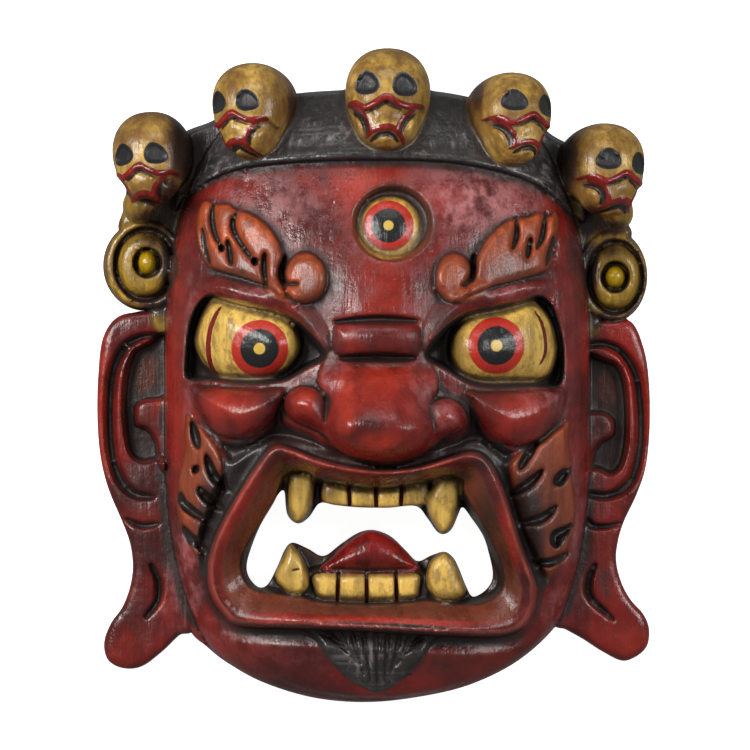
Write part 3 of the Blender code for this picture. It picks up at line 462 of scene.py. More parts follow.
SKULL_FACES_AT = [
    (-2.0, -5.8, 0.92), (-3.6, -2.5, 0.92), (-0.8, 0.5, 0.93), (2.2, 1.5, 1.04), (2.0, -2.5, 1.0),
]

# Fine carving, as (width, rise) of a line and (rise, edge) of a plate; holes and chips as ovals
SOFT_EDGE = 3.0
BROW_VALLEY = (5.5, 1.6)
NOSE_EDGES = [
    ([(-12, 0), (-13.5, -16), (-12.5, -38)], 3.4, 1.0), ([(21, 2), (22.5, -8), (21, -20)], 4.0, 0.9),
    ([(-14, -1), (2, -3), (20, 0)], 4.0, 0.8),
]
BEARD_STRANDS = 11
STRAND_LINE = (2.0, -2.2)
BROW_JOINS = [[(-57, 46.5), (-48, 42.5), (-39, 40.5)], [(60, 46), (51, 42), (43, 39.5)]]
BROW_JOIN_LINE = (7.0, 2.8)
WEDGE_PLATE = (-3.0, 3.0)
WEDGES = [
    [
        (-77, -51), (-82, -57), (-86, -63), (-88, -72), (-91, -80), (-92, -88), (-91, -97), (-88.5, -102),
        (-87.5, -89), (-82, -74), (-76, -61),
    ],
    [
        (-87.5, -44.3), (-83.7, -49.8), (-78.8, -55.1), (-73, -61), (-78.1, -62.3), (-83, -59.2),
        (-86.4, -53.7),
    ],
    [(-93.3, -59.2), (-90.6, -61.3), (-85.7, -64), (-79, -68), (-86.4, -68.3), (-89.9, -66.1), (-92, -63.4)],
    [
        (-101, -61.3), (-98.2, -64.7), (-93.3, -68.9), (-85.5, -75), (-89.2, -76.5), (-94.7, -73),
        (-99.2, -68.9),
    ],
    [
        (-99.6, -78.3), (-96.1, -81.3), (-90.6, -85.5), (-85, -91.7), (-87.5, -93.8), (-92, -91),
        (-96.8, -85.5),
    ],
    [(103.5, -48), (99.5, -50.5), (94.5, -56), (96.5, -59), (101, -56.5)],
    [(103.5, -77.5), (98, -80), (92.5, -82.5), (92, -88.5), (96, -91), (101, -86)],
]
NOTCH = [(-42.8, -102.5), (-38.3, -101.5)]
NOTCH_CUT = (1.4, -1.5)
NAIL_HOLES = [(-79.2, 65.4, 2.0, 2.2), (-61.8, 58.6, 2.2, 2.4)]
NAIL_HOLE_DEPTH = 6.0
CHIPS = [(14, -38.5, 2.2, 2.0), (-84, -95, 1.3, 1.3), (-82, -110, 1.5, 1.4), (19, -157, 1.7, 1.5)]
CHIP_DEPTH = 0.9
CRACK_LINE = (0.9, -0.7)
CRACKS = [
    [(48, 101), (51.5, 92), (54, 84), (55, 77)], [(64, 40), (65.5, 30), (66, 20)],
    [(-24, 62), (-22, 80), (-20, 96)], [(-118, -75), (-119, -52)],
]

# Unevenness that the knife left on the wood and the gouge in the hollow, as (height, seed, size, stretch)
KNIFE_MARKS = [(0.50, 3, 17, 1.0), (0.22, 4, 7, 1.6), (0.06, 5, 2.2, 3.0)]
GOUGE_MARKS = [(0.9, 8, 9, 2.2), (0.25, 9, 4, 1.0)]

# Paint maps: their cell, and how far from an edge they still tell the distance
PAINT_CELL = 0.5
FAR = 9.0

# Paint: the places that the colours cover, the half widths of painted lines and how far inside the carving
# each colour starts
IRISES = [((-59.5, 13.3), 14.3), ((64.3, 14.8), 14.3), ((7.9, 77.4), 12.8)]
IRIS_EDGE = 0.02
IRIS_TOP_REACH = 3.0
EYEBALL_INSET = 0.3
THIRD_INSET = 0.5
EYE_VEINS = [
    ([(-79.5, 35), (-83, 29), (-85.5, 21), (-86, 11), (-84, 3), (-80.5, -1.5)], 1.3),
    ([(84, 33), (87.5, 27), (89.5, 19), (89.5, 11), (86.5, 4)], 0.9),
]
BOWL_INSET = 1.5
EAR_LINES = {"rim": 1.6, "crease": 1.1, "lobe_crease": 1.3}
DISC_CHANNELS = [("ring", 1.20, 0.84), ("pit", 0.98, 0.72)]
LONG_CHIN_PAINT = (12, 14)
BROW_JOIN_HALF = 4.5
CURL_LINE = 0.9
BROW_LINE = (1.4, 0.2)
WHISKER_INSET = 0.4
WHISKER_LINE = (2.6, 0.0)
LIP_INSET = 6.0
# Half width of the lighter red band of painted highlight along the lips' crest
LIP_RIM = 1.5
GUM_INSET = 1.0
FANG_INSET = 0.3
NOTCH_LINE = 0.8
TEETH_INSET = 0.6
TOOTH_GAP_LINE = 1.1
SKULL_EYE_INSET = -0.2
CROWN_BLACK = [
    (-104, 83), (-96, 92), (-80, 102), (-60, 107), (-30, 109.5), (0, 110), (30, 109.5), (55, 106.5),
    (80, 99.5), (95, 90), (110, 77), (146, 86), (148, 124), (128, 158), (76, 182), (0, 190), (-76, 182),
    (-124, 158), (-146, 128), (-142, 94),
]
# Black in the valleys beside the whiskers and lips: black paint that also stands for their shade
VALLEYS = [
    [
        (-60, -34), (-53, -36), (-57, -43), (-66, -58), (-76, -75), (-84, -92), (-87, -106), (-91, -100),
        (-88, -86), (-80, -64), (-77, -46), (-76, -36),
    ],
    [
        (58, -34), (54, -40), (62, -54), (70, -72), (75, -90), (82, -104), (86, -112), (92, -106), (82, -94),
        (76, -80), (72, -66), (70, -50), (72, -40),
    ],
]

# Soft spots as (centre x, y, radii, strength): painted shade, painted light, painted sheen, dull paint and
# scuffs
SPOT_REACH = 1.35
# Painted shade: dark spots in recesses, round the features and under overhanging edges
SHADE_SPOTS = [
    (-31, 30, 15, 20, 0.85), (33, 30, 14, 20, 0.95), (-24, 46, 13, 18, 0.95), (27, 46, 9, 18, 0.8),
    (-25, 12, 12, 12, 0.9), (29, 10, 12, 12, 0.9), (-100, 20, 7, 40, 0.4), (105, 20, 7, 40, 0.5),
    (-60, -42, 16, 12, 0.95), (60, -44, 14, 12, 0.9), (-84, -66, 12, 40, 0.7), (86, -72, 16, 46, 0.8),
    (-42, -33, 18, 9, 1.0), (44, -38, 16, 8, 0.95), (3, -50, 34, 4, 0.5), (0, -134, 74, 5, 0.7),
    (-20, 106, 70, 5, 0.5), (-105, -100, 8, 40, 0.35), (106, -100, 9, 44, 0.5), (12, 98, 20, 6, 0.7),
    (29, 78, 6, 14, 0.8), (5, 9, 18, 4, 0.7), (2, 27.5, 20, 3, 0.6), (-125, -60, 16, 8, 0.5),
    (125, -60, 16, 8, 0.5), (-118, -18, 12, 42, 0.25), (120, -22, 12, 42, 0.8), (-104, 60, 8, 30, 0.3),
    (108, 56, 8, 30, 0.5), (-8, -121, 60, 5, 0.6), (34, -152, 36, 12, 0.85), (60, -78, 9, 30, 0.9),
    (66, -98, 8, 24, 0.7), (-26, -58, 8, 6, 0.9), (26, -62, 8, 8, 0.5), (-30, -106, 5, 12, 0.5),
    (25, -106, 4, 12, 0.5), (-1, -99, 20, 7, 0.6), (2, -22, 9, 10, 0.35), (-52, -10, 8, 10, 0.6),
    (52, -12, 8, 12, 0.7), (-28, -14, 4, 12, 0.8), (31, -16, 4, 12, 0.7), (-101, 118, 7, 26, 0.95),
    (106, 114, 8, 26, 0.8), (-112, 90, 16, 7, 0.85), (118, 84, 16, 7, 0.8), (-119, 57, 22, 24, 0.45),
    (125, 51, 19, 24, 0.45), (-116, 40, 20, 6, 0.8), (124, 34, 16, 6, 0.8), (-60, -5, 34, 3.5, 0.7),
    (-38, -2, 12, 8, 0.8), (62, -6, 34, 3.5, 0.7), (0, -59, 30, 2.0, 0.7), (104, -74, 6, 46, 0.45),
    (94, -118, 10, 20, 0.4), (117, -63, 14, 9, 0.8), (110, -94, 9, 26, 0.8), (-68, -132, 14, 8, 0.4),
    (-122, -84, 12, 14, 0.3), (122, -86, 12, 14, 0.4), (-80, 14, 6, 16, 0.1),
]
# Painted light: brighter red where light falls on high places, such as the nose, forehead and lower lip
LIGHT_SPOTS = [
    (6, 46, 14, 30, 0.35), (6, -2, 20, 12, 0.7), (4, -38, 18, 9, 1.0), (0, 101, 22, 13, 1.0),
    (-75, -16, 18, 8, 0.8), (78, -18, 18, 10, 0.5), (-36, -14, 9, 9, 0.65), (-132, -142, 12, 9, 0.35),
    (134, -140, 11, 9, 0.5), (-6, -41, 20, 7, 0.9), (-102, 0, 5, 90, 0.4), (-60, -60, 8, 30, 0.3),
    (60, -148, 26, 12, 0.35), (-70, -144, 26, 12, 0.3), (0, -129, 76, 4, 0.8), (-76, -84, 5, 40, 0.5),
    (72, -84, 5, 40, 0.4), (-118, -75, 20, 8, 0.3), (-141, -20, 5, 70, 0.5), (142, -26, 5, 70, 0.5),
    (-14, -12, 6, 26, 0.8),
]
# Painted sheen: pale pink where the lacquer would mirror the side lamps
SHEEN_SPOTS = [
    (-50, 88, 36, 20, 0.7), (52, 88, 40, 24, 1.5), (-16, 34, 14, 20, 0.25), (34, 20, 10, 12, 0.4),
    (-98, -108, 10, 36, 1.3), (-80, -134, 18, 8, 0.8), (103, -78, 7, 44, 1.2), (93, -118, 12, 20, 0.8),
    (-60, 44, 32, 6, 0.7), (66, 44, 32, 6, 0.9), (38, -20, 12, 12, 1.0), (90, -12, 14, 10, 0.9),
    (26, -6, 9, 20, 0.8), (-50, -150, 40, 14, 0.2), (-20, -2, 8, 16, 0.4), (-88, 40, 12, 8, 0.6),
    (62, -128, 22, 6, 0.3), (78, -126, 8, 8, 0.3), (-20, -46, 24, 4, 0.5), (-96, 10, 4, 50, 0.8),
    (98, -20, 4, 60, 0.6), (0, 118, 90, 8, 0.3), (-48, 62, 6, 12, 0.6),
]
# Dull paint, and painted shade on skulls, necks and whiskers; strong spots go near black
DULL_AND_SHADE_SPOTS = [
    (-68, 54, 34, 17, 1.15), (70, 54, 36, 18, 1.15), (-33, 44, 12, 12, 0.9), (42, 44, 12, 12, 0.95),
    (82, 70, 16, 12, 0.7), (-84, -78, 11, 36, 2.2), (80, -82, 14, 44, 2.3), (-98, 120, 13, 30, 2.4),
    (-106, 92, 10, 14, 2.2), (99, 112, 12, 28, 2.2), (113, 80, 10, 12, 2.2), (-105, 60, 10, 26, 2.1),
    (-112, 82, 20, 8, 1.8), (-110, 36, 18, 8, 2.0), (111, 56, 10, 22, 2.1), (123, 76, 16, 7, 1.8),
    (120, 28, 15, 7, 1.9), (-117, 70, 14, 7, 1.3), (-109, 57, 7, 14, 1.3), (124, 64, 14, 7, 1.3),
    (-42, 140, 7, 22, 1.5), (54, 148, 6, 20, 1.8), (-86, -68, 20, 56, 1.0), (90, -70, 24, 62, 1.0),
    (-103, 122, 12, 34, 1.0), (-47, 146, 12, 26, 0.9), (57, 148, 8, 22, 0.9), (106, 122, 10, 30, 0.8),
    (-115, 90, 22, 10, 0.9), (120, 86, 20, 10, 0.9), (-112, 74, 26, 16, 1.0), (-101, 52, 10, 30, 1.0),
    (-134, 80, 14, 12, 0.8), (-120, 33, 24, 8, 1.0), (-116, 86, 18, 14, 1.0), (126, 72, 20, 12, 1.0),
    (109, 52, 11, 30, 1.0), (136, 40, 12, 18, 0.5), (124, 31, 18, 8, 1.0), (122, 80, 16, 14, 1.0),
    (-119, 57, 24, 26, 0.25), (-118, 136, 28, 14, 1.0), (-132, 124, 9, 9, 1.0), (112, 134, 16, 12, 0.7),
    (-118, 96, 12, 8, 0.5), (14, 165, 7, 6, 0.9), (-4, 170, 12, 6, 0.3), (-44, -104, 5, 5, 0.5),
    (80, 12, 8, 20, 0.35), (46, 12, 8, 18, 0.7), (-93, 8, 5, 16, 0.4), (-23, -60, 6, 8, 0.8),
    (-42, -98, 3, 10, 0.3), (30, -60, 5, 8, 0.4), (-3, -104, 28, 3, 0.8), (60, 0, 34, 5, 0.4),
    (-62, -2, 26, 4, 0.4),
]
SCUFFS = [
    (2, -146, 30, 18, 1.0), (-50, 88, 36, 22, 0.35), (52, 88, 38, 24, 0.7), (-98, -112, 10, 36, 1.0),
    (26, -8, 6, 14, 0.5), (-68, 60, 26, 22, 0.6), (78, 64, 26, 20, 0.6), (-38, 52, 10, 12, 0.8),
    (-101, 0, 8, 90, 0.5), (62, -130, 24, 6, 0.5), (0, 124, 100, 12, 0.9), (-86, 106, 18, 13, 0.9),
    (88, 102, 20, 14, 1.0), (104, -80, 6, 46, 0.7), (92, -118, 12, 20, 0.8), (39, -22, 9, 9, 0.9),
    (-60, 44, 32, 7, 0.4), (-38, 44, 14, 14, 0.6), (46, 46, 14, 14, 0.5),
]
SPOTS = {"painted_shade": SHADE_SPOTS, "painted_light": LIGHT_SPOTS, "painted_sheen": SHEEN_SPOTS, "dull_and_shade": DULL_AND_SHADE_SPOTS, "scuff": SCUFFS}

# Cavities: how many cells the wood is blurred over, and where the wood is bare, behind and in the hollow
CAVITY_CELLS = 2
SHELTER_CELLS = 8
BARE_BACK = 0.6
BARE_MARGIN = 2.0

# Colours of the red ground, its painted light and sheen, the bare wood, wear, grime and painted shade, then
# the paints in the order that they go on: (name, colour, roughness, softness of its edge)
RED_DEEP = (0.070, 0.009, 0.008)
RED = (0.265, 0.017, 0.011)
# Brighter red of painted light on high places
RED_LIT = (0.430, 0.034, 0.014)
# Pale pink of painted sheen, where the lacquer would mirror the lamps
RED_SHEEN = (0.400, 0.125, 0.125)
# Dulled paints, which also give the painted shade on the skulls' sides and in strong dull spots
DULLED_AND_SHADED = {"orange": (0.120, 0.034, 0.022), "gold": (0.105, 0.044, 0.014), "olive": (0.060, 0.026, 0.010)}
WOOD_BARE = (0.300, 0.190, 0.105)
WOOD_STAINED = (0.060, 0.032, 0.018)
# Near black of grime, patina and chips, and of painted shade
GRIME_AND_SHADE = (0.020, 0.013, 0.011)
SCRATCH = (0.400, 0.250, 0.230)
SOOT_BRUSHED = (0.170, 0.162, 0.160)
INK = (0.012, 0.012, 0.013)
RED_ROUGHNESS = (0.16, 0.36)
WOOD_ROUGHNESS = 0.7
PAINTS = [
    ("soot", (0.038, 0.035, 0.034), 0.24, 1.0),
    ("brown", (0.170, 0.038, 0.018), 0.26, 2.0),
    # The lips' rim: lighter red that is painted highlight along the crest
    ("rosy", (0.360, 0.060, 0.042), 0.20, 1.6),
    ("orange", (0.450, 0.082, 0.020), 0.32, 0.6),
    ("olive", (0.440, 0.260, 0.026), 0.22, 1.0),
    ("stain", (0.042, 0.020, 0.012), 0.24, 2.4),
    ("gold", (0.820, 0.520, 0.115), 0.26, 0.5),
    ("crimson", (0.235, 0.012, 0.010), 0.18, 0.4),
    ("ink", INK, 0.40, 0.35),
    ("bead", (0.460, 0.280, 0.003), 0.22, 0.8),
    # Dark of the grooves, creases, wedges and holes: dark paint, with painted shade in the grooves
    ("groove", (0.022, 0.011, 0.008), 0.30, 1.0),
]

# Rings of an iris from the outer one in, as (share of its radius, colour)
IRIS_RINGS = [(1.0, (0.440, 0.026, 0.014)), (0.68, INK), (0.20, (0.640, 0.420, 0.080))]

# Paints: how dark the thin strokes are, and the darker edge of painted shade as (reach, colour)
DULL_SHARE = {"orange": 0.62, "gold": 0.66, "olive": 0.6, "ink": 1.0, "crimson": 0.55}
EDGE_SHADES = {
    "gold": (3.8, (0.17, 0.076, 0.01)), "orange": (1.8, (0.11, 0.02, 0.01)),
    "olive": (3.5, (0.11, 0.052, 0.012)), "crimson": (0.9, (0.09, 0.012, 0.01)),
}

# Noises of the lacquer as (scale, detail, stretch, roughness)
NOISES = {
    "streaks": (60, 5, (1, 0.06, 1), 0.65), "fine_streaks": (300, 4, (1, 0.045, 1), 0.6),
    "cross_streaks": (240, 4, (0.06, 1, 1), 0.6), "blotches": (24, 4), "patches": (75, 5, (1, 1, 1), 0.65),
    "mottle": (230, 4, (1, 0.5, 1), 0.7), "speckle": (520, 3, (1, 1, 1), 0.7),
    "strokes": (110, 4, (1, 0.22, 1)), "wobble": (160, 3),
}

# Studio, in metres: the floor, the lamps as (name, place, size, watts, colour), the world and the camera
FLOOR_HALF = 2.0
FLOOR_LEVEL = -0.0005
FLOOR_SHADES = ((0.86, 0.86, 0.87), (0.90, 0.90, 0.90))
FLOOR_EMISSION = 0.95
LAMPS = [
    ("left_softbox", (-0.75, 0.35, 0.85), (0.3, 0.7), 12, (1.0, 0.98, 0.96)),
    ("right_softbox", (0.85, 0.25, 0.75), (0.3, 0.7), 6, (0.98, 0.99, 1.0)),
    ("top_softbox", (0.0, 1.1, 0.9), (1.0, 0.3), 3, (1.0, 1.0, 1.0)),
]
LAMPS_FACE = (0, 0, 0.05)
WORLD_STRENGTH = 0.18
SENSOR_WIDTH = 36
LENS = 117.8


def ease(share):
    """From 0 to 1 with a level start and end."""
    share = np.clip(share, 0, 1)
    return share * share * (3 - 2 * share)


def dome(share):
    """From 0 to 1 as a quarter circle rises."""
    share = np.clip(share, 0, 1)
    return np.sqrt(share * (2 - share))


def join(a, b, blend):
    """The lower of two fields, with a fillet of about blend where they meet."""
    step = np.clip(0.5 + 0.5 * (b - a) / blend, 0, 1)
    return b + (a - b) * step - blend * step * (1 - step)


def cut(a, b, blend):
    """The higher of two fields, rounded over about blend where they meet."""
    return -join(-a, -b, blend)


def spline(points, closed=False, steps=6):
    """A Catmull-Rom curve through the points."""
    p = np.array(points, float)
    if closed:
        p = np.vstack([p[-1], p, p[:2]])
    else:
        p = np.vstack([2 * p[0] - p[1], p, 2 * p[-1] - p[-2]])
    t = np.linspace(0, 1, steps, endpoint=False)[:, None]
    spans = []
    for a, b, c, d in zip(p, p[1:], p[2:], p[3:]):
        spans.append(0.5 * (2 * b + (c - a) * t + (2 * a - 5 * b + 4 * c - d) * t**2
                            + (3 * b - a - 3 * c + d) * t**3))
    if not closed:
        spans.append(p[-2:-1])
    return np.vstack(spans)


def from_line(curve, x, y):
    """Each place's distance from the curve, and how far along it the nearest point lies, from 0 to 1."""
    nearest = np.full(np.shape(x), np.inf)
    along = np.zeros(np.shape(x))
    count = len(curve) - 1
    for i, (a, b) in enumerate(zip(curve, curve[1:])):
        run = b - a
        t = np.clip(((x - a[0]) * run[0] + (y - a[1]) * run[1]) / max(run @ run, 1e-9), 0, 1)
        gap = np.hypot(x - a[0] - t * run[0], y - a[1] - t * run[1])
        closer = gap < nearest
        nearest = np.where(closer, gap, nearest)
        along = np.where(closer, (i + t) / count, along)
    return nearest, along


def depth_inside(outline, x, y):
    """How far each place lies inside the closed outline, negative outside it."""
    ring = np.vstack([outline, outline[:1]])
    gap, _ = from_line(ring, x, y)
    inside = np.zeros(np.shape(x), bool)
    for a, b in zip(ring, ring[1:]):
        if a[1] != b[1]:
            crosses = (a[1] > y) != (b[1] > y)
            inside ^= crosses & (x < a[0] + (y - a[1]) * (b[0] - a[0]) / (b[1] - a[1]))
    return np.where(inside, gap, -gap)


def oval_radius(oval, x, y, squareness=2.0):
    """0 at the oval's middle and 1 on its edge; oval is its centre and radii."""
    cx, cy, rx, ry = oval
    return (np.abs((x - cx) / rx) ** squareness + np.abs((y - cy) / ry) ** squareness) ** (1 / squareness)


def sampled(grid, axes, places):
    """The grid's values at places between its points; axes are where its evenly spaced lines lie."""
    lows, shares = [], []
    for axis, place in zip(axes, places):
        at = np.clip((place - axis[0]) / (axis[1] - axis[0]), 0, len(axis) - 1.001)
        low = at.astype(np.int32)
        lows.append(low)
        shares.append(at - low)
    value = 0
    for corner in range(2 ** len(axes)):
        steps = [corner >> bit & 1 for bit in range(len(axes))]
        weight = 1
        for step, share in zip(steps, shares):
            weight = weight * (share if step else 1 - share)
        value = value + weight * grid[tuple(low + step for low, step in zip(lows, steps))]
    return value


class Relief:
    """A height map over the plan. Each method carves only the window that its shape reaches."""

    def __init__(self, cell, edge=PLAN_EDGE):
        self.xs = np.arange(-edge[0], edge[0], cell)
        self.ys = np.arange(-edge[1], edge[1], cell)
        self.x, self.y = np.meshgrid(self.xs, self.ys, indexing="ij")
        self.z = np.zeros(self.x.shape)

    def window(self, points, reach):
        """The part of the plan within reach of the points, and its x and y."""
        low, high = np.min(points, axis=0) - reach, np.max(points, axis=0) + reach
        part = (slice(*np.searchsorted(self.xs, (low[0], high[0]))),
                slice(*np.searchsorted(self.ys, (low[1], high[1]))))
        return part, self.x[part], self.y[part]

    def plate(self, outline, rise, edge, profile=ease):
        """Raises what the outline holds by rise, over an edge that starts at the outline."""
        curve = spline(outline, closed=True)
        part, x, y = self.window(curve, edge)
        self.z[part] += rise * profile(depth_inside(curve, x, y) / edge)

    def level(self, outline, height, edge):
        """Brings what the outline holds to a height, over an edge that starts at the outline."""
        curve = spline(outline, closed=True)
        part, x, y = self.window(curve, edge)
        share = ease(depth_inside(curve, x, y) / edge)
        self.z[part] += (height - self.z[part]) * share

    def line(self, points, width, rise):
        """Raises a ridge along a curve, or cuts a groove where rise is negative; both fade at its ends."""
        curve = spline(points)
        part, x, y = self.window(curve, width)
        gap, along = from_line(curve, x, y)
        fade = 0.45 + 0.55 * np.sin(math.pi * np.clip(along, 0, 1)) ** 0.5
        self.z[part] += rise * fade * (1 - ease(gap / (width * fade)))

    def pit(self, oval, depth):
        """Sinks a round pit with sloping sides."""
        part, x, y = self.window([oval[:2]], oval[2])
        self.z[part] -= depth * ease((1 - oval_radius(oval, x, y)) / 0.5)

    def mound(self, oval, rise, squareness=2.0, blend=1.5):
        """Raises the surface inside an oval to a rounded top, rise above its edge."""
        cx, cy, rx, ry = oval
        part, x, y = self.window([(cx - rx, cy - ry), (cx + rx, cy + ry)], 0)
        radius = oval_radius(oval, x, y, squareness)
        edge = self.z[part][np.abs(radius - 1) < 0.1].min()
        top = edge + rise * np.sqrt(np.clip(1 - radius**squareness, 0, 1))
        self.z[part] = np.where(radius < 1, cut(self.z[part], top, blend), self.z[part])


def carve_dome(relief):
    """The face's dome, which stands over the ears."""
    radius = oval_radius((*DOME_CENTRE, *DOME_RADII), relief.x, relief.y, DOME_SQUARENESS)
    rise = np.clip(1 - radius**DOME_FALL, 0, 1) ** DOME_ROUND
    rim = EAR + DOME_STEP
    face = rim + (FACE - rim) * rise
    relief.z = np.where(radius < 1, face, relief.z)


def carve_band(relief):
    """The headband, and the low roll along its lower edge."""
    relief.plate(BAND_OUTLINE, BAND_THICKNESS / UNIT, 1.8)
    lower_edge = [(x, y + 4) for x, y in BAND_OUTLINE[1:10]]
    relief.line(lower_edge, 5.0, 1.2)


def carve_ear(relief, ear):
    """The ear's rim groove, its bowl with the tragus standing in it, and the creases of the lobe."""
    relief.plate(ear["bowl"], -EAR_BOWL_DROP, 4.0)
    relief.plate(ear["tragus"], EAR_BOWL_DROP, 3.0, dome)
    width, depth = EAR_RIM_GROOVE
    relief.line(ear["rim"], width, -depth)
    relief.line(ear["crease"], 3.0, -4.0)
    relief.line(ear["lobe_crease"], 3.4, -5.0)


def carve_disc(relief, disc):
    """An ear disc: a flat rim, a sunk channel, a thick ring and a bead in its pit."""
    part, x, y = relief.window([disc["plate"][:2]], max(disc["plate"][2:]))
    plate = oval_radius(disc["plate"], x, y)
    ring = oval_radius(disc["ring"], x, y)
    pit = oval_radius(disc["pit"], x, y)
    bead = oval_radius(disc["bead"], x, y)
    top = EAR + 1.0 + 1.5 * ease((1 - plate) / 0.08)
    top -= 6.0 * ease((1.20 - ring) / 0.14)
    top += 9.0 * dome((1 - ring) / 0.30)
    top -= 8.0 * ease((1 - pit) / 0.20)
    top += 8.0 * dome((1 - bead) / 0.8)
    relief.z[part] = np.where(plate < 1, top, relief.z[part])


def carve_eye(relief, eye):
    """The upper lid's fold, the socket and the ball bulging out of it."""
    curve = spline(eye["ball"], closed=True)
    part, x, y = relief.window(curve, 1)
    inside = depth_inside(curve, x, y)
    ball = relief.z[part] - SOCKET_DROP + BALL_RISE * dome(inside / BALL_EDGE)
    relief.line(eye["lid"], 9.5, 5.5)
    relief.plate(eye["opening"], -SOCKET_DROP - 3.0, 3.2)
    relief.z[part] = np.where(inside > 0, cut(relief.z[part], ball, 0.8), relief.z[part])


def carve_third_eye(relief):
    """A round recess in the forehead with a ball in it."""
    part, x, y = relief.window([THIRD_RECESS[:2]], THIRD_RECESS[2])
    relief.z[part] -= 6.5 * ease((1 - oval_radius(THIRD_RECESS, x, y)) / 0.22)
    relief.mound(THIRD_BALL, 9.0, blend=1.0)


def carve_brow(relief, brow):
    """A flame-shaped plate whose lower edge runs into the lid, and its curl."""
    relief.plate(brow["plate"], BROW_RISE, 4.5, dome)
    curl_x, curl_y = brow["curl"][:2]
    part, x, y = relief.window([(curl_x, curl_y)], max(brow["curl"][2:]))
    curl = oval_radius(brow["curl"], x, y)
    raised = depth_inside(spline(brow["plate"], closed=True), x, y)
    relief.z[part] += (BROW_RISE + 1.5) * dome((1 - curl) / 0.45) * (1 - ease(raised / 3.0))
    relief.line(brow["curl_groove"], 3.0, -5.5)
    for groove in brow["grooves"]:
        relief.line(groove, 3.2, -5.0)


def carve_nose(relief):
    """The folds across the bridge, the wings and the ball."""
    radius = oval_radius(FOREHEAD, relief.x, relief.y)
    relief.z += FOREHEAD_RISE * ease(1 - radius)
    relief.plate(BRIDGE_FOLD, BRIDGE_RISE, 8.0, dome)
    for wing in NOSE_WINGS:
        relief.plate(wing, 16.0, 11.0, dome)
    outline = spline(NOSE_OUTLINE, closed=True)
    part, x, y = relief.window(outline, 1)
    inside = depth_inside(outline, x, y)
    slope = 0.3 + 0.7 * ease((NOSE_TOP_Y - y) / (NOSE_TOP_Y - NOSE_TIP_Y))
    stand = (NOSE_STAND / UNIT - NOSE_ROOT) * slope
    flank = ease(inside / NOSE_EDGE)
    top = FACE + NOSE_ROOT * slope + stand * (flank + (dome(inside / NOSE_EDGE) - flank) * slope)
    relief.z[part] = np.where(inside > 0, cut(relief.z[part], top, 2.5), relief.z[part])
    for crease in BRIDGE_CREASES:
        relief.line(crease, 3.2, -6.0)


def carve_cheek(relief, bag, hollow, whisker):
    """The bag under the eye, the hollow below it, and the whisker plate slit into flames."""
    relief.plate(bag, 14.0, 17.0, dome)
    relief.plate(hollow, -CHEEK_HOLLOW, 5.0)
    relief.plate(whisker["plate"], WHISKER_RISE, 3.0)
    width, depth = WHISKER_GROOVE
    for groove in whisker["grooves"]:
        relief.line(groove, width, -depth)


def carve_mouth(relief):
    """Lips that stand off the face and slope in to the gums, then teeth, fangs and tongue."""
    lips, gums = spline(LIPS, closed=True), spline(GUMS, closed=True)
    part, x, y = relief.window(lips, 14)
    out, within = depth_inside(lips, x, y), depth_inside(gums, x, y)
    ground = relief.z[part]
    crest = np.minimum(ground, FACE) + LIP_RISE
    gum_level = FACE - GUM_DROP
    across = np.clip(out / np.maximum(out - within, 0.1), 0, 1)
    lip = crest - 2.5 * (1 - dome(out / 3.0)) - 16.0 * across**1.35
    valley = ground - 5.0 * (1 - ease(np.abs(out + 4) / 9.0))
    shaped = np.where(out > 0, lip, valley + (lip - valley) * ease(1 + out / 2.5))
    inner = gum_level + (lip - gum_level) * (1 - ease(within / 5.5))
    relief.z[part] = np.where(within > 0, inner, shaped)
    relief.level(TOOTH_SHELF, gum_level + 7, 3.0)
    relief.level(TONGUE, gum_level + 1, 2.0)
    relief.plate(TONGUE, 13.0, 13.0, dome)
    for teeth in TEETH:
        relief.level(teeth["row"], gum_level + 6, 1.0)
        relief.plate(teeth["row"], TOOTH_RISE - 6, 5.5, dome)
        for gap in teeth["gaps"]:
            relief.line(gap, TOOTH_GAP[0], -TOOTH_GAP[1])
    for outline, rise in FANGS:
        relief.level(outline, gum_level + 6, 1.5)
        relief.plate(outline, rise - 6, 6.0, dome)


def carve_chin(relief):
    """The chin's swell and the short beard on it."""
    relief.mound(CHIN, 14.0, blend=6.0)
    relief.plate(BEARD, 3.0, 3.0)


def carve_plan(cell):
    """The whole face as a height map."""
    relief = Relief(cell)
    relief.z += EAR
    for disc in DISCS:
        carve_disc(relief, disc)
    for ear in EARS.values():
        carve_ear(relief, ear)
    carve_dome(relief)
    carve_third_eye(relief)
    carve_nose(relief)
    for bag, hollow, whisker in zip(CHEEK_BAGS, CHEEK_HOLLOWS, WHISKERS):
        carve_cheek(relief, bag, hollow, whisker)
    for eye in EYES:
        carve_eye(relief, eye)
    for brow in BROWS:
        carve_brow(relief, brow)
    carve_chin(relief)
    carve_mouth(relief)
    carve_band(relief)
    return relief


def block_depth(relief):
    """How far each place lies inside the block as sawn to its outline."""
    shapes = [FACE_OUTLINE, BAND_OUTLINE, *DISC_NECKS, *(ear["outline"] for ear in EARS.values())]
    depth = np.full(relief.x.shape, -np.inf)
    for shape in shapes:
        depth = np.maximum(depth, depth_inside(spline(shape, closed=True), relief.x, relief.y))
    for disc in DISCS:
        reach = min(disc["plate"][2:])
        depth = np.maximum(depth, reach * (1 - oval_radius(disc["plate"], relief.x, relief.y)))
    return depth


def near(height, cells, pick):
    """What pick makes of the levels within so many cells of each place, taken along X and then along Y."""
    for axis in (0, 1):
        height = pick([np.roll(height, step, axis) for step in range(-cells, cells + 1)], axis=0)
    return height


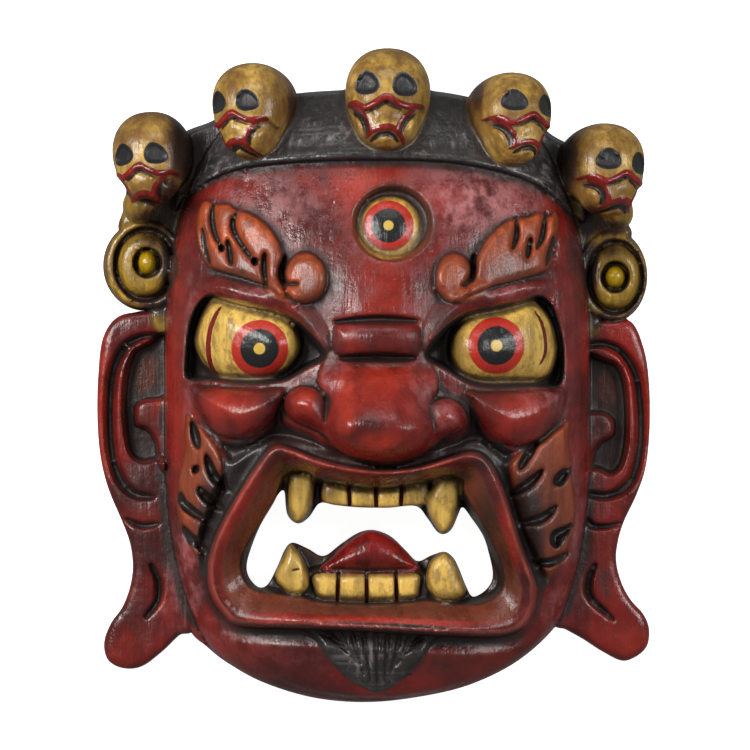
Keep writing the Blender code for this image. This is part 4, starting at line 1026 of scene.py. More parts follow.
def hollow_ceiling(relief, cell):
    """How high the hollow reaches: a wall's thickness below the lowest carving near each place."""
    rim = RIM_WIDTH / UNIT
    radii = (DOME_RADII[0] - rim, DOME_RADII[1] - rim)
    radius = oval_radius((*DOME_CENTRE, *radii), relief.x, relief.y, HOLLOW_SQUARENESS)
    cells = round(HOLLOW_REACH / cell)
    top = near(near(relief.z, cells, np.min), cells, np.mean) - WALL / UNIT
    rise = np.clip(1 - radius**HOLLOW_SQUARENESS, 0, 1) ** HOLLOW_ROUND
    return np.where(radius < 1, top * rise, -2 * cell)


def turned(skull, x, y, z):
    """Plan places in the skull's own axes: its right, its up and the way it faces."""
    yaw, pitch, roll = (math.radians(skull[turn]) for turn in ("yaw", "pitch", "roll"))
    cy, sy, cp, sp, cr, sr = (f(a) for a in (yaw, pitch, roll) for f in (math.cos, math.sin))
    about_y = np.array([[cy, 0, sy], [0, 1, 0], [-sy, 0, cy]])
    about_x = np.array([[1, 0, 0], [0, cp, -sp], [0, sp, cp]])
    about_z = np.array([[cr, -sr, 0], [sr, cr, 0], [0, 0, 1]])
    axes = about_z @ about_y @ about_x
    offset = (x - skull["at"][0], y - skull["at"][1], z - skull["depth"] * FACE)
    return [sum(offset[i] * axes[i, k] for i in range(3)) / skull["size"] for k in range(3)]


def ellipsoid(p, radii, squareness=2.0):
    """The distance from an ellipsoid about the origin, along the line through it."""
    share = sum(np.abs(c / r) ** squareness for c, r in zip(p, radii)) ** (1 / squareness)
    return np.sqrt(sum(c**2 for c in p)) * (1 - 1 / np.maximum(share, 1e-3))


def skull_field(skull, face, x, y, z):
    """A cranium and jaw with the face carved into its front, and the skull's own axes at each place."""
    u, v, w = turned(skull, x, y, z)
    depth = np.where(w > 0, CRANIUM_FRONT, CRANIUM_BACK)
    cranium = ellipsoid((u, v, w), (*CRANIUM, depth), CRANIUM_SQUARENESS)
    bone = join(cranium, ellipsoid((u, v - JAW_AT[1], w - JAW_AT[2]), JAW, CRANIUM_SQUARENESS), 7.0)
    across, up, width = SKULL_FACES_AT[SKULLS.index(skull)]
    bone = bone - sampled(face.z, (face.xs, face.ys), ((u - across) / width, v - up)) * ease((w + 2) / 8)
    return bone * skull["size"], (u, v, w)


def lean(relief, height):
    """What turns a height over the ground into the distance from it, where the ground is steep."""
    slopes = np.gradient(height, relief.xs, relief.ys)
    return 1 / np.sqrt(1 + slopes[0] ** 2 + slopes[1] ** 2)


def wood_field(relief, face, ceiling, cell):
    """The field of the whole mask, negative in the wood, and its depths."""
    highest = relief.z.max() + 3 * cell
    depths = np.arange(-2.5 * cell, highest, cell, dtype=np.float32)
    z = depths[None, None, :]
    steepness = lean(relief, relief.z)[..., None].astype(np.float32)
    top = (z - relief.z[..., None].astype(np.float32)) * steepness
    wood = cut(top, -block_depth(relief)[..., None].astype(np.float32), EDGE_ROUND)
    for skull in SKULLS:
        reach = SKULL_REACH * skull["size"]
        middle = skull["depth"] * FACE
        part, x, y = relief.window([skull["at"]], reach)
        tall = slice(*np.searchsorted(depths, (middle - reach, middle + reach)))
        bone, _ = skull_field(skull, face, x[..., None], y[..., None], z[..., tall])
        wood[(*part, tall)] = join(wood[(*part, tall)], bone, 2.0)
        post = np.hypot(x - skull["at"][0], y - skull["at"][1])[..., None] - SKULL_POST * skull["size"]
        low = slice(0, np.searchsorted(depths, middle))
        wood[(*part, low)] = join(wood[(*part, low)], post, SKULL_POST_BLEND)
    for (chin_x, chin_y, chin_z), radii in LONG_CHINS:
        chin = ellipsoid((relief.x[..., None] - chin_x, relief.y[..., None] - chin_y, z - chin_z), radii)
        wood = join(wood, chin.astype(np.float32), 3.0)
    wood = cut(wood, (ceiling[..., None] - z) * lean(relief, ceiling)[..., None], 2.0)
    opening = depth_inside(spline(OPENING, closed=True), relief.x, relief.y)
    wood = cut(wood, opening[..., None].astype(np.float32), 1.0)
    return np.maximum(wood, -z).astype(np.float32), depths


def is_knot(pattern):
    """Whether a cell with this pattern of corners in the wood would make the surface touch itself."""
    wood = {corner for corner in range(8) if pattern >> corner & 1}
    for part in (wood, set(range(8)) - wood):
        reached = set(list(part)[:1])
        for _ in range(7):
            reached |= {corner ^ bit for corner in reached for bit in (1, 2, 4)} & part
        if reached != part:
            return True
    for bit, other in ((1, 2), (1, 4), (2, 4)):
        for corner in range(8):
            far = corner ^ bit ^ other
            if (corner in wood) == (far in wood) != (corner ^ bit in wood) == (corner ^ other in wood):
                return True
    return False


def corner_views(grid):
    """The grid as each cell's eight corners see it."""
    sides = (np.s_[:-1], np.s_[1:])
    return [grid[sides[i], sides[j], sides[k]] for i in (0, 1) for j in (0, 1) for k in (0, 1)]


def untie(field):
    """Fills the few cells in which the surface would touch itself."""
    knots = np.array([is_knot(pattern) for pattern in range(256)])
    while True:
        pattern = sum(corner.astype(np.uint8) << bit for bit, corner in enumerate(corner_views(field < 0)))
        tied = knots[pattern]
        if not tied.any():
            return
        for corner in corner_views(field):
            corner[tied] = np.minimum(corner[tied], -0.2)


def surface_net(field, axes):
    """The closed surface where the field is 0, as points and quads: one point in each cell it crosses."""
    untie(field)
    inside = field < 0
    count = sum(corner.astype(np.int8) for corner in corner_views(inside))
    cells = np.argwhere((count > 0) & (count < 8))
    number = np.full(count.shape, -1, np.int64)
    number[tuple(cells.T)] = np.arange(len(cells))
    total, hits = np.zeros((len(cells), 3)), np.zeros((len(cells), 1))
    for axis in range(3):
        others = [a for a in range(3) if a != axis]
        for low in ((0, 0), (0, 1), (1, 0), (1, 1)):
            start = np.zeros(3, int)
            start[others] = low
            end = start + np.eye(3, dtype=int)[axis]
            a = field[tuple((cells + start).T)].astype(float)
            b = field[tuple((cells + end).T)].astype(float)
            crossed = (a < 0) != (b < 0)
            share = np.where(crossed, a / np.where(crossed, a - b, 1), 0)
            total += np.where(crossed[:, None], start + share[:, None] * (end - start), 0)
            hits += crossed[:, None]
    places = cells + total / hits
    points = np.column_stack([np.interp(places[:, i], np.arange(len(axes[i])), axes[i]) for i in range(3)])
    quads = []
    for axis in range(3):
        second, third = (axis + 1) % 3, (axis + 2) % 3
        length = inside.shape[axis]
        ahead = np.take(inside, range(1, length), axis)
        behind = np.take(inside, range(length - 1), axis)
        for edges, turn in ((np.argwhere(behind & ~ahead), 1), (np.argwhere(~behind & ahead), -1)):
            step2, step3 = np.eye(3, dtype=int)[second], np.eye(3, dtype=int)[third]
            ring = [edges, edges - step2, edges - step2 - step3, edges - step3][::turn]
            quads.append(np.column_stack([number[tuple(corner.T)] for corner in ring]))
    return points, np.vstack(quads)


def in_metres(points):
    """Plan points in metres, moved in to where they really are: what lies nearer the eye looks larger."""
    eye = EYE_HEIGHT / UNIT
    closer = (eye - points[:, 2:]) / (eye - PLAN_LEVEL)
    return np.column_stack([points[:, :2] * closer, points[:, 2:]]) * UNIT


def unevenness(relief, marks):
    """Smooth random bumps over the plan, each kind as high, as wide and as stretched along Y as marks say."""
    total = np.zeros(relief.x.shape)
    for height, seed, size, stretch in marks:
        steps = (size, size * stretch)
        axes = [np.arange(-edge - 2 * step, edge + 3 * step, step) for edge, step in zip(PLAN_EDGE, steps)]
        bumps = np.random.default_rng(seed).uniform(-1, 1, (len(axes[0]), len(axes[1])))
        places = []
        for axis, place, step in zip(axes, (relief.x, relief.y), steps):
            at = (place - axis[0]) / step
            low = np.floor(at)
            places.append(axis[0] + (low + ease(at - low)) * step)
        total += height * sampled(bumps, axes, places)
    return total


def carve_skull_face():
    """What the knife takes off or leaves on the front of a skull, over the skull's own plan."""
    face = Relief(SKULL_CELL, SKULL_EDGE)
    for outline in SKULL_EYES:
        face.plate(outline, -2.0, 2.6)
    face.plate([*SKULL_BROW, (24, -35), (-24, -35)], -2.0, 2.4)
    for outline, rise, edge in SKULL_PLATES:
        face.plate(outline, rise, edge)
    for points, half in SKULL_LINES:
        face.line(points, half + 0.8, 0.7)
    for points, half in SKULL_SHADES:
        face.line(points, half + 0.8, -1.4)
    return face


def carve_details(relief):
    """Soft rims of the eyeballs, fine lines, wedges, the beard, holes, cracks and the knife's unevenness."""
    softer = near(relief.z, 2, np.mean)
    for eye in EYES:
        curve = spline(eye["ball"], closed=True)
        part, x, y = relief.window(curve, SOFT_EDGE)
        share = 1 - ease(np.abs(depth_inside(curve, x, y)) / SOFT_EDGE)
        relief.z[part] += (softer[part] - relief.z[part]) * share
    for points, width, rise in NOSE_EDGES:
        relief.line(points, width, rise)
    for plate in (*BROWS, *WHISKERS):
        for groove in plate["grooves"]:
            relief.line(groove, BROW_VALLEY[0], -BROW_VALLEY[1])
    for join_line in BROW_JOINS:
        relief.line(join_line, *BROW_JOIN_LINE)
    for wedge in WEDGES:
        relief.plate(wedge, *WEDGE_PLATE)
    relief.line(NOTCH, *NOTCH_CUT)
    for strand in np.linspace(-1, 1, BEARD_STRANDS):
        top = (1 + 33 * strand, -131)
        end = (2 + 17 * strand, -165 + 24 * abs(strand) ** 1.2)
        middle = ((top[0] + end[0]) / 2 + 1.5 * strand, (top[1] + end[1]) / 2)
        relief.line([top, middle, end], *STRAND_LINE)
    for hole in NAIL_HOLES:
        relief.pit(hole, NAIL_HOLE_DEPTH)
    for chip in CHIPS:
        relief.pit(chip, CHIP_DEPTH)
    for crack in CRACKS:
        relief.line(crack, *CRACK_LINE)
    relief.z += unevenness(relief, KNIFE_MARKS)


class Paint(Relief):
    """A map over the plan of how far inside a colour's edge each place lies, negative outside it."""

    def __init__(self, cell, edge=PLAN_EDGE):
        super().__init__(cell, edge)
        self.z -= FAR

    def cover(self, part, inside):
        """Adds a shape to what the colour covers."""
        self.z[part] = np.maximum(self.z[part], inside)

    def outline(self, points, inset=0.0):
        curve = spline(points, closed=True)
        part, x, y = self.window(curve, FAR)
        self.cover(part, depth_inside(curve, x, y) - inset)

    def oval(self, oval, inner=0.0):
        """An oval, or with inner only the ring outside that share of its radii."""
        part, x, y = self.window([oval[:2]], max(oval[2:]) + FAR)
        radius = oval_radius(oval, x, y)
        share = np.where(radius < (1 + inner) / 2, radius - inner, 1 - radius)
        self.cover(part, min(oval[2:]) * share)

    def line(self, points, half, ends=0.35):
        """A line of a half width, which tapers to that share of it at its ends."""
        curve = spline(points)
        part, x, y = self.window(curve, half + FAR)
        gap, along = from_line(curve, x, y)
        taper = ends + (1 - ends) * np.sin(math.pi * np.clip(along, 0, 1)) ** 0.5
        self.cover(part, half * taper - gap)

    def keep_out(self, points):
        """Takes the outline out of what is covered."""
        curve = spline(points, closed=True)
        part, x, y = self.window(curve, FAR)
        self.z[part] = np.minimum(self.z[part], -depth_inside(curve, x, y))


def paint_eyes(coats):
    """Golden eyeballs with red veins in dark openings, and the third eye in its brown recess."""
    for eye in EYES:
        coats.soot.outline(eye["opening"], EYEBALL_INSET)
        coats.gold.outline(eye["ball"], EYEBALL_INSET)
    for points, half in EYE_VEINS:
        coats.crimson.line(points, half)
    coats.brown.oval(THIRD_RECESS)
    cx, cy, rx, ry = THIRD_BALL
    coats.gold.oval((cx, cy, rx - THIRD_INSET, ry - THIRD_INSET))


def paint_ears(coats):
    """Brown ear bowls with dark creases, and ochre discs with dark channels and golden beads."""
    bowls = Paint(PAINT_CELL)
    for ear in EARS.values():
        bowls.outline(ear["bowl"], BOWL_INSET)
        bowls.keep_out(ear["tragus"])
        for name, half in EAR_LINES.items():
            coats.groove.line(ear[name], half)
    for disc in DISCS:
        coats.olive.oval(disc["plate"])
        coats.bead.oval(disc["bead"])
        for name, size, inner in DISC_CHANNELS:
            cx, cy, rx, ry = disc[name]
            coats.stain.oval((cx, cy, size * rx, size * ry), inner)
    for neck in DISC_NECKS:
        coats.olive.outline(neck)
    for chin, _ in LONG_CHINS:
        coats.olive.oval((*chin[:2], *LONG_CHIN_PAINT))
    on_face = oval_radius((*DOME_CENTRE, *DOME_RADII), bowls.x, bowls.y, DOME_SQUARENESS) < 1.0
    bowls.z[on_face] = -FAR
    coats.olive.z[on_face] = -FAR
    coats.brown.z = np.maximum(coats.brown.z, bowls.z)


def paint_flames(coats):
    """Orange brows and whiskers, with dark lines and wedges between their flames."""
    for join_line in BROW_JOINS:
        coats.orange.line(join_line, BROW_JOIN_HALF)
    for brow in BROWS:
        coats.orange.outline(brow["plate"])
        coats.orange.oval(brow["curl"])
        coats.groove.line(brow["curl_groove"], CURL_LINE)
        for line in brow["grooves"]:
            coats.groove.line(line, *BROW_LINE)
    for whisker in WHISKERS:
        coats.orange.outline(whisker["plate"], WHISKER_INSET)
        for line in whisker["grooves"]:
            coats.groove.line(line, *WHISKER_LINE)
    for wedge in WEDGES:
        coats.groove.outline(wedge)
    for hole in NAIL_HOLES:
        coats.groove.oval(hole)


def paint_mouth(coats):
    """Brown lips with a lighter red rim of painted highlight, stained gums, golden teeth and fangs, and a red
    tongue.
    """
    coats.brown.outline(LIPS, LIP_INSET)
    coats.rosy.line([*LIPS, LIPS[0]], LIP_RIM)
    coats.stain.outline(GUMS, GUM_INSET)
    coats.crimson.outline(TONGUE)
    for outline, _ in FANGS:
        coats.gold.outline(outline, FANG_INSET)
    coats.groove.line(NOTCH, NOTCH_LINE)
    for teeth in TEETH:
        coats.gold.outline(teeth["row"], TEETH_INSET)
        for gap in teeth["gaps"]:
            coats.crimson.line(gap, TOOTH_GAP_LINE)


def lay_paint():
    """Every colour's map over the plan, by the colour's name."""
    coats = SimpleNamespace(**{name: Paint(PAINT_CELL) for name, *_ in PAINTS})
    for outline in (CROWN_BLACK, BEARD, *VALLEYS):
        coats.soot.outline(outline)
    paint_eyes(coats)
    paint_ears(coats)
    paint_flames(coats)
    paint_mouth(coats)
    return vars(coats)


def soft_spots(spots, x, y):
    """Soft spots, each (centre x, y, radii, strength), that fade out; the strongest shows."""
    value = np.zeros(np.shape(x))
    for cx, cy, rx, ry, strength in spots:
        radius = oval_radius((cx, cy, rx, ry), x, y)
        value = np.maximum(value, strength * (1 - ease(radius / SPOT_REACH)))
    return value


def paint_skulls(layers, face, x, y, z):
    """Ochre skulls with black eyes, red lines, and painted shade beside the lines and on their sides, over
    whatever the plan's paint has there.
    """
    marks = {name: Paint(SKULL_CELL, SKULL_EDGE) for name in ("ink", "crimson", "groove")}
    for outline in SKULL_EYES:
        marks["ink"].outline(outline, SKULL_EYE_INSET)
    # The dark strokes are painted shade beside the red lines
    for name, table in (("crimson", SKULL_LINES), ("groove", SKULL_SHADES)):
        for points, half in table:
            marks[name].line(points, half)
    for skull, (across, up, width) in zip(SKULLS, SKULL_FACES_AT):
        near_by = np.hypot(x - skull["at"][0], y - skull["at"][1]) < SKULL_REACH
        bone, (u, v, w) = skull_field(skull, face, x[near_by], y[near_by], z[near_by])
        on_bone = np.maximum(1.0 - bone, -FAR)
        front = np.where(w > 0, FAR, -FAR)
        layers["gold"][near_by] = np.maximum(layers["gold"][near_by], on_bone)
        layers["soot"][near_by] = np.minimum(layers["soot"][near_by], -on_bone)
        # Painted shade on the sides and back of each skull, away from its front
        side_shade = ease((SKULL_SIDE_SHADE[0] - w) / SKULL_SIDE_SHADE[1]) * (bone < 1.0)
        layers["dull_and_shade"][near_by] = np.maximum(layers["dull_and_shade"][near_by], side_shade)
        for name, paint in marks.items():
            shown = sampled(paint.z, (paint.xs, paint.ys), ((u - across) / width, v - up))
            shown = np.minimum(shown, np.minimum(on_bone + 1, front))
            layers[name][near_by] = np.maximum(layers[name][near_by], shown)


def paint_layers(face, x, y, z):
    """How far inside each colour every place lies, and how strongly each kind of spot shows there."""
    layers = {name: sampled(coat.z, (coat.xs, coat.ys), (x, y)) for name, coat in lay_paint().items()}
    for name, spots in SPOTS.items():
        layers[name] = soft_spots(spots, x, y)
    paint_skulls(layers, face, x, y, z)
    return layers


def box_blur(grid, cells):
    """The grid's mean over a cube of so many cells each way."""
    for axis in range(3):
        pads = [(cells + 1, cells) if a == axis else (0, 0) for a in range(3)]
        total = np.cumsum(np.pad(grid, pads, mode="edge"), axis=axis, dtype=np.float64)
        high = np.take(total, range(2 * cells + 1, total.shape[axis]), axis)
        low = np.take(total, range(total.shape[axis] - 2 * cells - 1), axis)
        grid = ((high - low) / (2 * cells + 1)).astype(np.float32)
    return grid


def wood_layers(wood, axes, ceiling, places):
    """How deep in a cavity and how sheltered each place lies, and how far inside the bare wood."""
    solid = (wood < 0).astype(np.float32)
    x, y, z = places
    under = sampled(ceiling, axes[:2], (x, y))
    in_hollow = np.where(under > 0, under + BARE_MARGIN - z, -FAR)
    return {
        "cavity": sampled(box_blur(solid, CAVITY_CELLS), axes, places) - 0.5,
        "shelter": sampled(box_blur(solid, SHELTER_CELLS), axes, places) - 0.5,
        "bare": np.maximum(BARE_BACK - z, in_hollow),
    }


def thinned(points, quads, triangles):
    """The mesh with only so many triangles, most of them where it curves."""
    mesh = bpy.data.meshes.new("thinned")
    mesh.from_pydata(points.tolist(), [], quads.tolist())
    work = bpy.data.objects.new("thinned", mesh)
    bpy.context.scene.collection.objects.link(work)
    smooth = work.modifiers.new("smooth", "SMOOTH")
    smooth.factor = 0.5
    smooth.iterations = 1
    thin = work.modifiers.new("thin", "DECIMATE")
    thin.ratio = triangles / (2 * len(quads))
    whole = bpy.data.meshes.new_from_object(work.evaluated_get(bpy.context.evaluated_depsgraph_get()))
    bpy.data.objects.remove(work)
    return whole


def place_mesh(mesh, places, irises, box):
    """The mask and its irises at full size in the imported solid's box, and the eye's place above it."""
    count = len(places)
    real = in_metres(np.vstack([places, irises, [(*PLAN_EYE, 0)]]))
    low, high = real[:count].min(axis=0), real[:count].max(axis=0)
    box_low, box_high = np.array(box[0]), np.array(box[1])
    real = box_low + (real - low) * (box_high - box_low) / (high - low)
    mesh.vertices.foreach_set("co", real[:count].ravel())
    mesh.update()
    mesh.shade_smooth()
    mask = bpy.data.objects.new("mask_carving", mesh)
    bpy.context.scene.collection.objects.link(mask)
    return mask, real[count:-1], (real[-1][0], real[-1][1], EYE_HEIGHT)


def make_mask(box):
    """The carved mesh with a number for each paint at every vertex, its irises and the eye above it."""
    relief = carve_plan(CELL)
    carve_details(relief)
    face = carve_skull_face()
    ceiling = hollow_ceiling(relief, CELL)
    ceiling += unevenness(relief, GOUGE_MARKS)
    wood, depths = wood_field(relief, face, ceiling, CELL)
    axes = (relief.xs, relief.ys, depths)
    mesh = thinned(*surface_net(wood, axes), KEPT_TRIANGLES)
    places = np.empty(3 * len(mesh.vertices))
    mesh.vertices.foreach_get("co", places)
    places = places.reshape(-1, 3)
    places[:, 2] = np.maximum(places[:, 2], 0)
    x, y, z = places.T
    layers = {**wood_layers(wood, axes, ceiling, (x, y, z)), **paint_layers(face, x, y, z)}
    for name, values in layers.items():
        layer = mesh.attributes.new(name, "FLOAT", "POINT")
        layer.data.foreach_set("value", np.clip(values, -FAR, FAR).astype(np.float32))
    irises = [(cx, cy, z[np.hypot(x - cx, y - cy) < IRIS_TOP_REACH].max()) for (cx, cy), _ in IRISES]
    return place_mesh(mesh, places, irises, box)


class Graph:
    """Short ways to add shader nodes. Each gives back the output socket, and takes sockets or numbers."""

    def __init__(self, name):
        self.material = bpy.data.materials.new(name)
        self.material.use_nodes = True
        self.tree = self.material.node_tree
        self.shader = self.tree.nodes["Principled BSDF"]
        self.place = self.add("ShaderNodeTexCoord").outputs["Object"]

    def add(self, kind, inputs=(), **settings):
        node = self.tree.nodes.new(kind)
        for setting, value in settings.items():
            setattr(node, setting, value)
        for key, value in dict(inputs).items():
            self.feed(node.inputs[key], value)
        return node

    def feed(self, socket, value):
        if isinstance(value, bpy.types.NodeSocket):
            self.tree.links.new(value, socket)
        elif isinstance(value, tuple) and len(value) == 3 and socket.type == "RGBA":
            socket.default_value = (*value, 1)
        else:
            socket.default_value = value

    def attribute(self, name):
        return self.add("ShaderNodeAttribute", attribute_name=name).outputs["Fac"]

    def math(self, operation, a, b=0.0, c=0.0):
        return self.add("ShaderNodeMath", {0: a, 1: b, 2: c}, operation=operation).outputs[0]

    def plus(self, a, b):
        return self.math("ADD", a, b)

    def times(self, a, b):
        return self.math("MULTIPLY", a, b)

    def scaled(self, value, factor, offset):
        return self.math("MULTIPLY_ADD", value, factor, offset)

    def most(self, a, b):
        return self.math("MAXIMUM", a, b)

    def vector(self, operation, a, b=(0, 0, 0)):
        return self.add("ShaderNodeVectorMath", {0: a, 1: b}, operation=operation)

    def ramp(self, value, low, high, to_low=0.0, to_high=1.0):
        inputs = {"Value": value, "From Min": low, "From Max": high, "To Min": to_low, "To Max": to_high}
        node = self.add("ShaderNodeMapRange", inputs, interpolation_type="SMOOTHSTEP")
        return node.outputs["Result"]

    def noise(self, scale, detail=3.0, stretch=(1, 1, 1), roughness=0.55):
        mapping = self.add("ShaderNodeMapping", {"Vector": self.place, "Scale": stretch})
        inputs = {"Vector": mapping.outputs[0], "Scale": scale, "Detail": detail, "Roughness": roughness}
        return self.add("ShaderNodeTexNoise", inputs).outputs["Fac"]

    def blend(self, share, a, b):
        return self.add("ShaderNodeMix", {0: share, 2: a, 3: b}, data_type="FLOAT").outputs[0]

    def mix(self, share, a, b):
        node = self.add("ShaderNodeMix", data_type="RGBA")
        for key, value in ((0, share), (6, a), (7, b)):
            self.feed(node.inputs[key], value)
        return node.outputs[2]


def red_ground(g, n):
    """The red lacquer under everything, with its dark streaks, painted light and painted sheen, and how
    strong the sheen is.
    """
    colour = g.mix(g.ramp(n.blotches, 0.36, 0.62), RED_DEEP, RED)
    colour = g.mix(g.ramp(n.streaks, 0.42, 0.66, 0, 0.6), colour, RED_DEEP)
    # Painted light: brighter red on high places
    painted_light = g.times(g.attribute("painted_light"), g.ramp(n.patches, 0.30, 0.58, 0.4, 1.0))
    colour = g.mix(painted_light, colour, RED_LIT)
    # Painted sheen: pale pink where the lacquer would mirror the lamps
    painted_sheen = g.times(g.attribute("painted_sheen"), g.ramp(n.patches, 0.38, 0.60, 0.15, 1.0))
    painted_sheen = g.times(painted_sheen, g.ramp(n.mottle, 0.38, 0.60, 0.35, 1.0))
    return g.mix(g.times(painted_sheen, 0.8), colour, RED_SHEEN), painted_sheen


def coat_tone(g, n, name, paint):
    """One paint's colour, with its brush strokes, a darker edge of painted shade, dull spots that are partly
    painted shade, and scuffs.
    """
    worked = g.scaled(n.fine_streaks, 0.5, g.times(n.strokes, 0.5))
    thin = DULL_SHARE.get(name, 0.7)
    tone = g.mix(g.ramp(worked, 0.40, 0.56), tuple(thin * c for c in paint), paint)
    if name in EDGE_SHADES:
        # Painted shade towards the paint's edge
        reach, shade = EDGE_SHADES[name]
        rim = g.times(g.ramp(g.attribute(name), reach, 0.0), g.ramp(n.patches, 0.3, 0.6, 0.35, 1.0))
        tone = g.mix(rim, tone, shade)
    if name in DULLED_AND_SHADED:
        # Dull paint and painted shade from the spots, with random dullness
        dull_and_shade_share = g.times(g.attribute("dull_and_shade"), g.ramp(n.mottle, 0.25, 0.65, 1.0, 0.6))
        dull_and_shade_share = g.most(dull_and_shade_share, g.times(g.ramp(n.mottle, 0.45, 0.60, 0, 0.9), n.patches))
        tone = g.mix(g.math("MINIMUM", dull_and_shade_share, 1.0), tone, DULLED_AND_SHADED[name])
        # Strong spots go near black as painted shade
        tone = g.mix(g.ramp(g.attribute("dull_and_shade"), 0.9, 1.9, 0, 0.85), tone, GRIME_AND_SHADE)
    if name == "soot":
        brushed = g.most(g.ramp(n.cross_streaks, 0.48, 0.72), g.ramp(n.fine_streaks, 0.52, 0.70))
        brushed = g.times(brushed, g.ramp(g.attribute("scuff"), 0.0, 0.8, 0.1, 0.9))
        tone = g.mix(brushed, tone, SOOT_BRUSHED)
    return tone


def paint_irises(g, irises, colour):
    """The red and black rings and the light dot of each eye, round about the iris's middle."""
    radius = FAR
    for (x, y, _), (_, size) in zip(irises, IRISES):
        away = g.vector("SUBTRACT", g.place, (x, y, 0)).outputs[0]
        share = 1 / (size * UNIT)
        flat = g.vector("MULTIPLY", away, (share, share, 0)).outputs[0]
        radius = g.math("MINIMUM", g.vector("LENGTH", flat).outputs["Value"], radius)
    radius = g.plus(radius, g.scaled(g.noise(90, 2), 0.06, -0.03))
    for size, paint in IRIS_RINGS:
        colour = g.mix(g.ramp(radius, size + IRIS_EDGE, size - IRIS_EDGE), colour, paint)
    return colour


def aged(g, n, colour, shown):
    """The painted colour with patina and painted shade, edges lighter from wear and painted highlight, chips
    and scratches, and where the shade and chips are.
    """
    cavity, shelter = g.attribute("cavity"), g.attribute("shelter")
    # Dark patina and painted shade in hollows and sheltered places
    patina_and_shade = g.most(g.ramp(cavity, 0.03, 0.13, 0, 0.9), g.ramp(shelter, 0.015, 0.15, 0, 0.92))
    paler = g.most(g.most(shown["gold"], shown["orange"]), g.times(shown["olive"], 1.6))
    # Painted shade from the dark spots, lighter on pale paints
    painted_shade = g.times(g.attribute("painted_shade"), g.ramp(n.patches, 0.25, 0.6, 1.0, 0.75))
    painted_shade = g.times(painted_shade, g.scaled(paler, -0.45, 1.0))
    patina_and_shade = g.times(g.most(patina_and_shade, painted_shade), g.scaled(paler, -0.3, 1.0))
    # Painted shade near the floor: the lowest part of the sides darkens
    height_up = g.add("ShaderNodeSeparateXYZ", {0: g.place}).outputs[2]
    patina_and_shade = g.most(patina_and_shade, g.ramp(height_up, 0.016, 0.002, 0, 0.8))
    colour = g.mix(patina_and_shade, colour, GRIME_AND_SHADE)
    # Convex edges lighter, from rubbed wear and painted highlight
    worn_and_lit = g.times(g.ramp(cavity, -0.06, -0.16), g.ramp(n.strokes, 0.42, 0.60))
    worn_and_lit = g.times(worn_and_lit, g.ramp(n.patches, 0.40, 0.60, 0.1, 0.6))
    brighter = g.add("ShaderNodeHueSaturation", {"Value": 1.7, "Color": colour}).outputs[0]
    colour = g.mix(worn_and_lit, colour, brighter)
    chips = g.times(g.ramp(n.speckle, 0.68, 0.73), g.ramp(n.blotches, 0.50, 0.60))
    colour = g.mix(g.times(chips, 0.6), colour, GRIME_AND_SHADE)
    scuffed = g.ramp(g.attribute("scuff"), 0.0, 1.0, 0.0, 0.26)
    scratches = g.times(g.ramp(n.fine_streaks, 0.60, 0.70), scuffed)
    return g.mix(scratches, colour, SCRATCH), patina_and_shade, chips


def lacquer(irises):
    """Old lacquer over wood: the red ground, the painted colours in turn, their wear, and painted light and
    shade.
    """
    g = Graph("lacquered_wood_painted")
    n = SimpleNamespace(**{name: g.noise(*settings) for name, settings in NOISES.items()})
    wobble = g.scaled(n.wobble, 1.6, -0.8)
    colour, painted_sheen = red_ground(g, n)
    roughness = g.ramp(n.patches, 0.3, 0.7, *RED_ROUGHNESS)
    shown = {}
    for name, paint, paint_roughness, softness in PAINTS:
        if name == "ink":
            colour = paint_irises(g, irises, colour)
        edge = g.scaled(wobble, 0.5 * softness, g.attribute(name))
        share = g.ramp(edge, -0.35 * softness, 0.35 * softness)
        if name == "brown":
            share = g.times(share, g.ramp(g.attribute("soot"), 1.5, -0.5))
        colour = g.mix(share, colour, coat_tone(g, n, name, paint))
        roughness = g.blend(share, roughness, paint_roughness)
        shown[name] = share
    colour, patina_and_shade, chips = aged(g, n, colour, shown)

    bare = g.ramp(g.attribute("bare"), 0.0, 1.2)
    grain = g.mix(g.ramp(n.streaks, 0.35, 0.68), WOOD_BARE, WOOD_STAINED)
    colour = g.mix(bare, colour, g.mix(g.ramp(n.blotches, 0.35, 0.62), grain, WOOD_STAINED))
    roughness = g.blend(bare, roughness, WOOD_ROUGHNESS)
    roughness = g.plus(roughness, g.times(patina_and_shade, 0.20))
    roughness = g.plus(roughness, g.times(painted_sheen, 0.12))
    roughness = g.plus(roughness, g.ramp(n.mottle, 0.46, 0.66, 0, 0.10))
    height = g.scaled(n.streaks, 1.2, g.times(n.fine_streaks, 0.5))
    height = g.plus(height, g.times(n.patches, 1.2))
    height = g.plus(height, g.times(n.mottle, 0.35))
    height = g.math("SUBTRACT", height, g.times(chips, 0.3))
    bump = g.add("ShaderNodeBump", {"Strength": 0.5, "Distance": 0.0012, "Height": height})
    g.feed(g.shader.inputs["Base Color"], colour)
    g.feed(g.shader.inputs["Roughness"], roughness)
    g.feed(g.shader.inputs["Normal"], bump.outputs[0])
    g.shader.inputs["Specular IOR Level"].default_value = 0.55
    return g.material


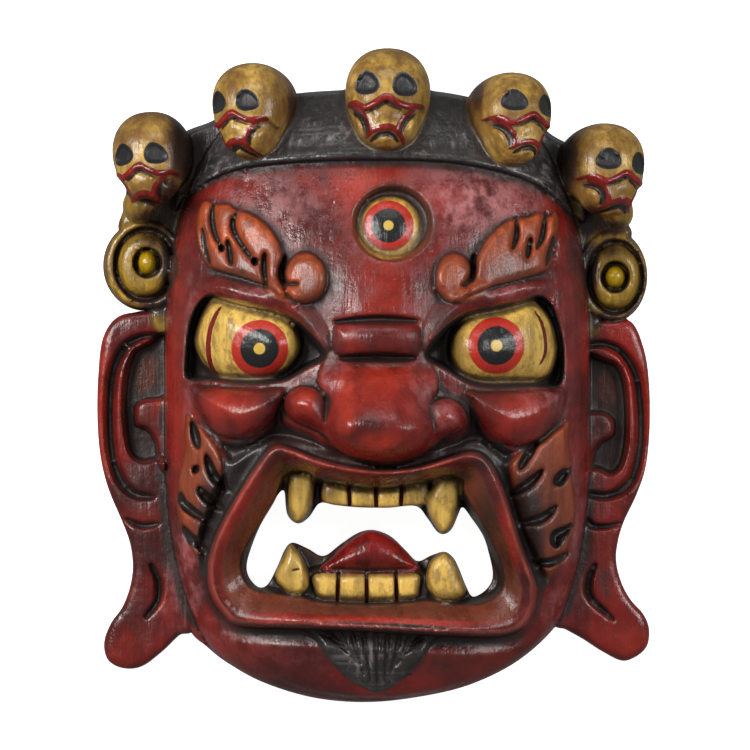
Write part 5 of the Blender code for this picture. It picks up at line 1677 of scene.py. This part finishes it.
def floor_material():
    """A pale matt studio floor, bright enough to be seen through the mouth."""
    g = Graph("studio_floor")
    g.feed(g.shader.inputs["Base Color"], g.mix(g.noise(3), *FLOOR_SHADES))
    g.shader.inputs["Roughness"].default_value = 0.9
    g.shader.inputs["Emission Color"].default_value = (1, 1, 1, 1)
    g.shader.inputs["Emission Strength"].default_value = FLOOR_EMISSION
    return g.material


def make_floor():
    """A wide flat floor under the mask, which neither lights the mask nor shows in its gloss."""
    corners = [(-1, -1), (1, -1), (1, 1), (-1, 1)]
    mesh = bpy.data.meshes.new("floor")
    points = [(FLOOR_HALF * x, FLOOR_HALF * y, FLOOR_LEVEL) for x, y in corners]
    mesh.from_pydata(points, [], [(0, 1, 2, 3)])
    floor = bpy.data.objects.new("floor", mesh)
    floor.data.materials.append(floor_material())
    bpy.context.scene.collection.objects.link(floor)
    floor.visible_diffuse = False
    floor.visible_glossy = False


def make_lamp(name, place, size, power, colour):
    """A soft rectangular lamp that faces the mask."""
    light = bpy.data.lights.new(name, "AREA")
    light.shape = "RECTANGLE"
    light.size, light.size_y = size
    light.energy = power
    light.color = colour
    lamp = bpy.data.objects.new(name, light)
    lamp.location = place
    lamp.rotation_euler = (Vector(LAMPS_FACE) - Vector(place)).to_track_quat("-Z", "Y").to_euler()
    bpy.context.scene.collection.objects.link(lamp)


def make_studio(eye_at):
    """The floor, the lamps, a pale world and the camera over the mask."""
    make_floor()
    for lamp in LAMPS:
        make_lamp(*lamp)
    scene = bpy.context.scene
    world = bpy.data.worlds.new("studio")
    world.use_nodes = True
    backdrop = world.node_tree.nodes["Background"]
    backdrop.inputs["Color"].default_value = (1, 1, 1, 1)
    backdrop.inputs["Strength"].default_value = WORLD_STRENGTH
    scene.world = world
    scene.view_settings.view_transform = "Standard"
    camera = bpy.data.cameras.new("camera")
    camera.sensor_width = SENSOR_WIDTH
    camera.lens = LENS
    camera.clip_start = 0.01
    eye = bpy.data.objects.new("camera", camera)
    eye.location = eye_at
    scene.collection.objects.link(eye)
    scene.camera = eye


def main():
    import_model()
    mask, irises, eye_at = make_mask(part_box("mask"))
    mask.data.materials.append(lacquer(irises))
    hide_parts("mask")
    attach(mask, "root")
    make_studio(eye_at)


main()
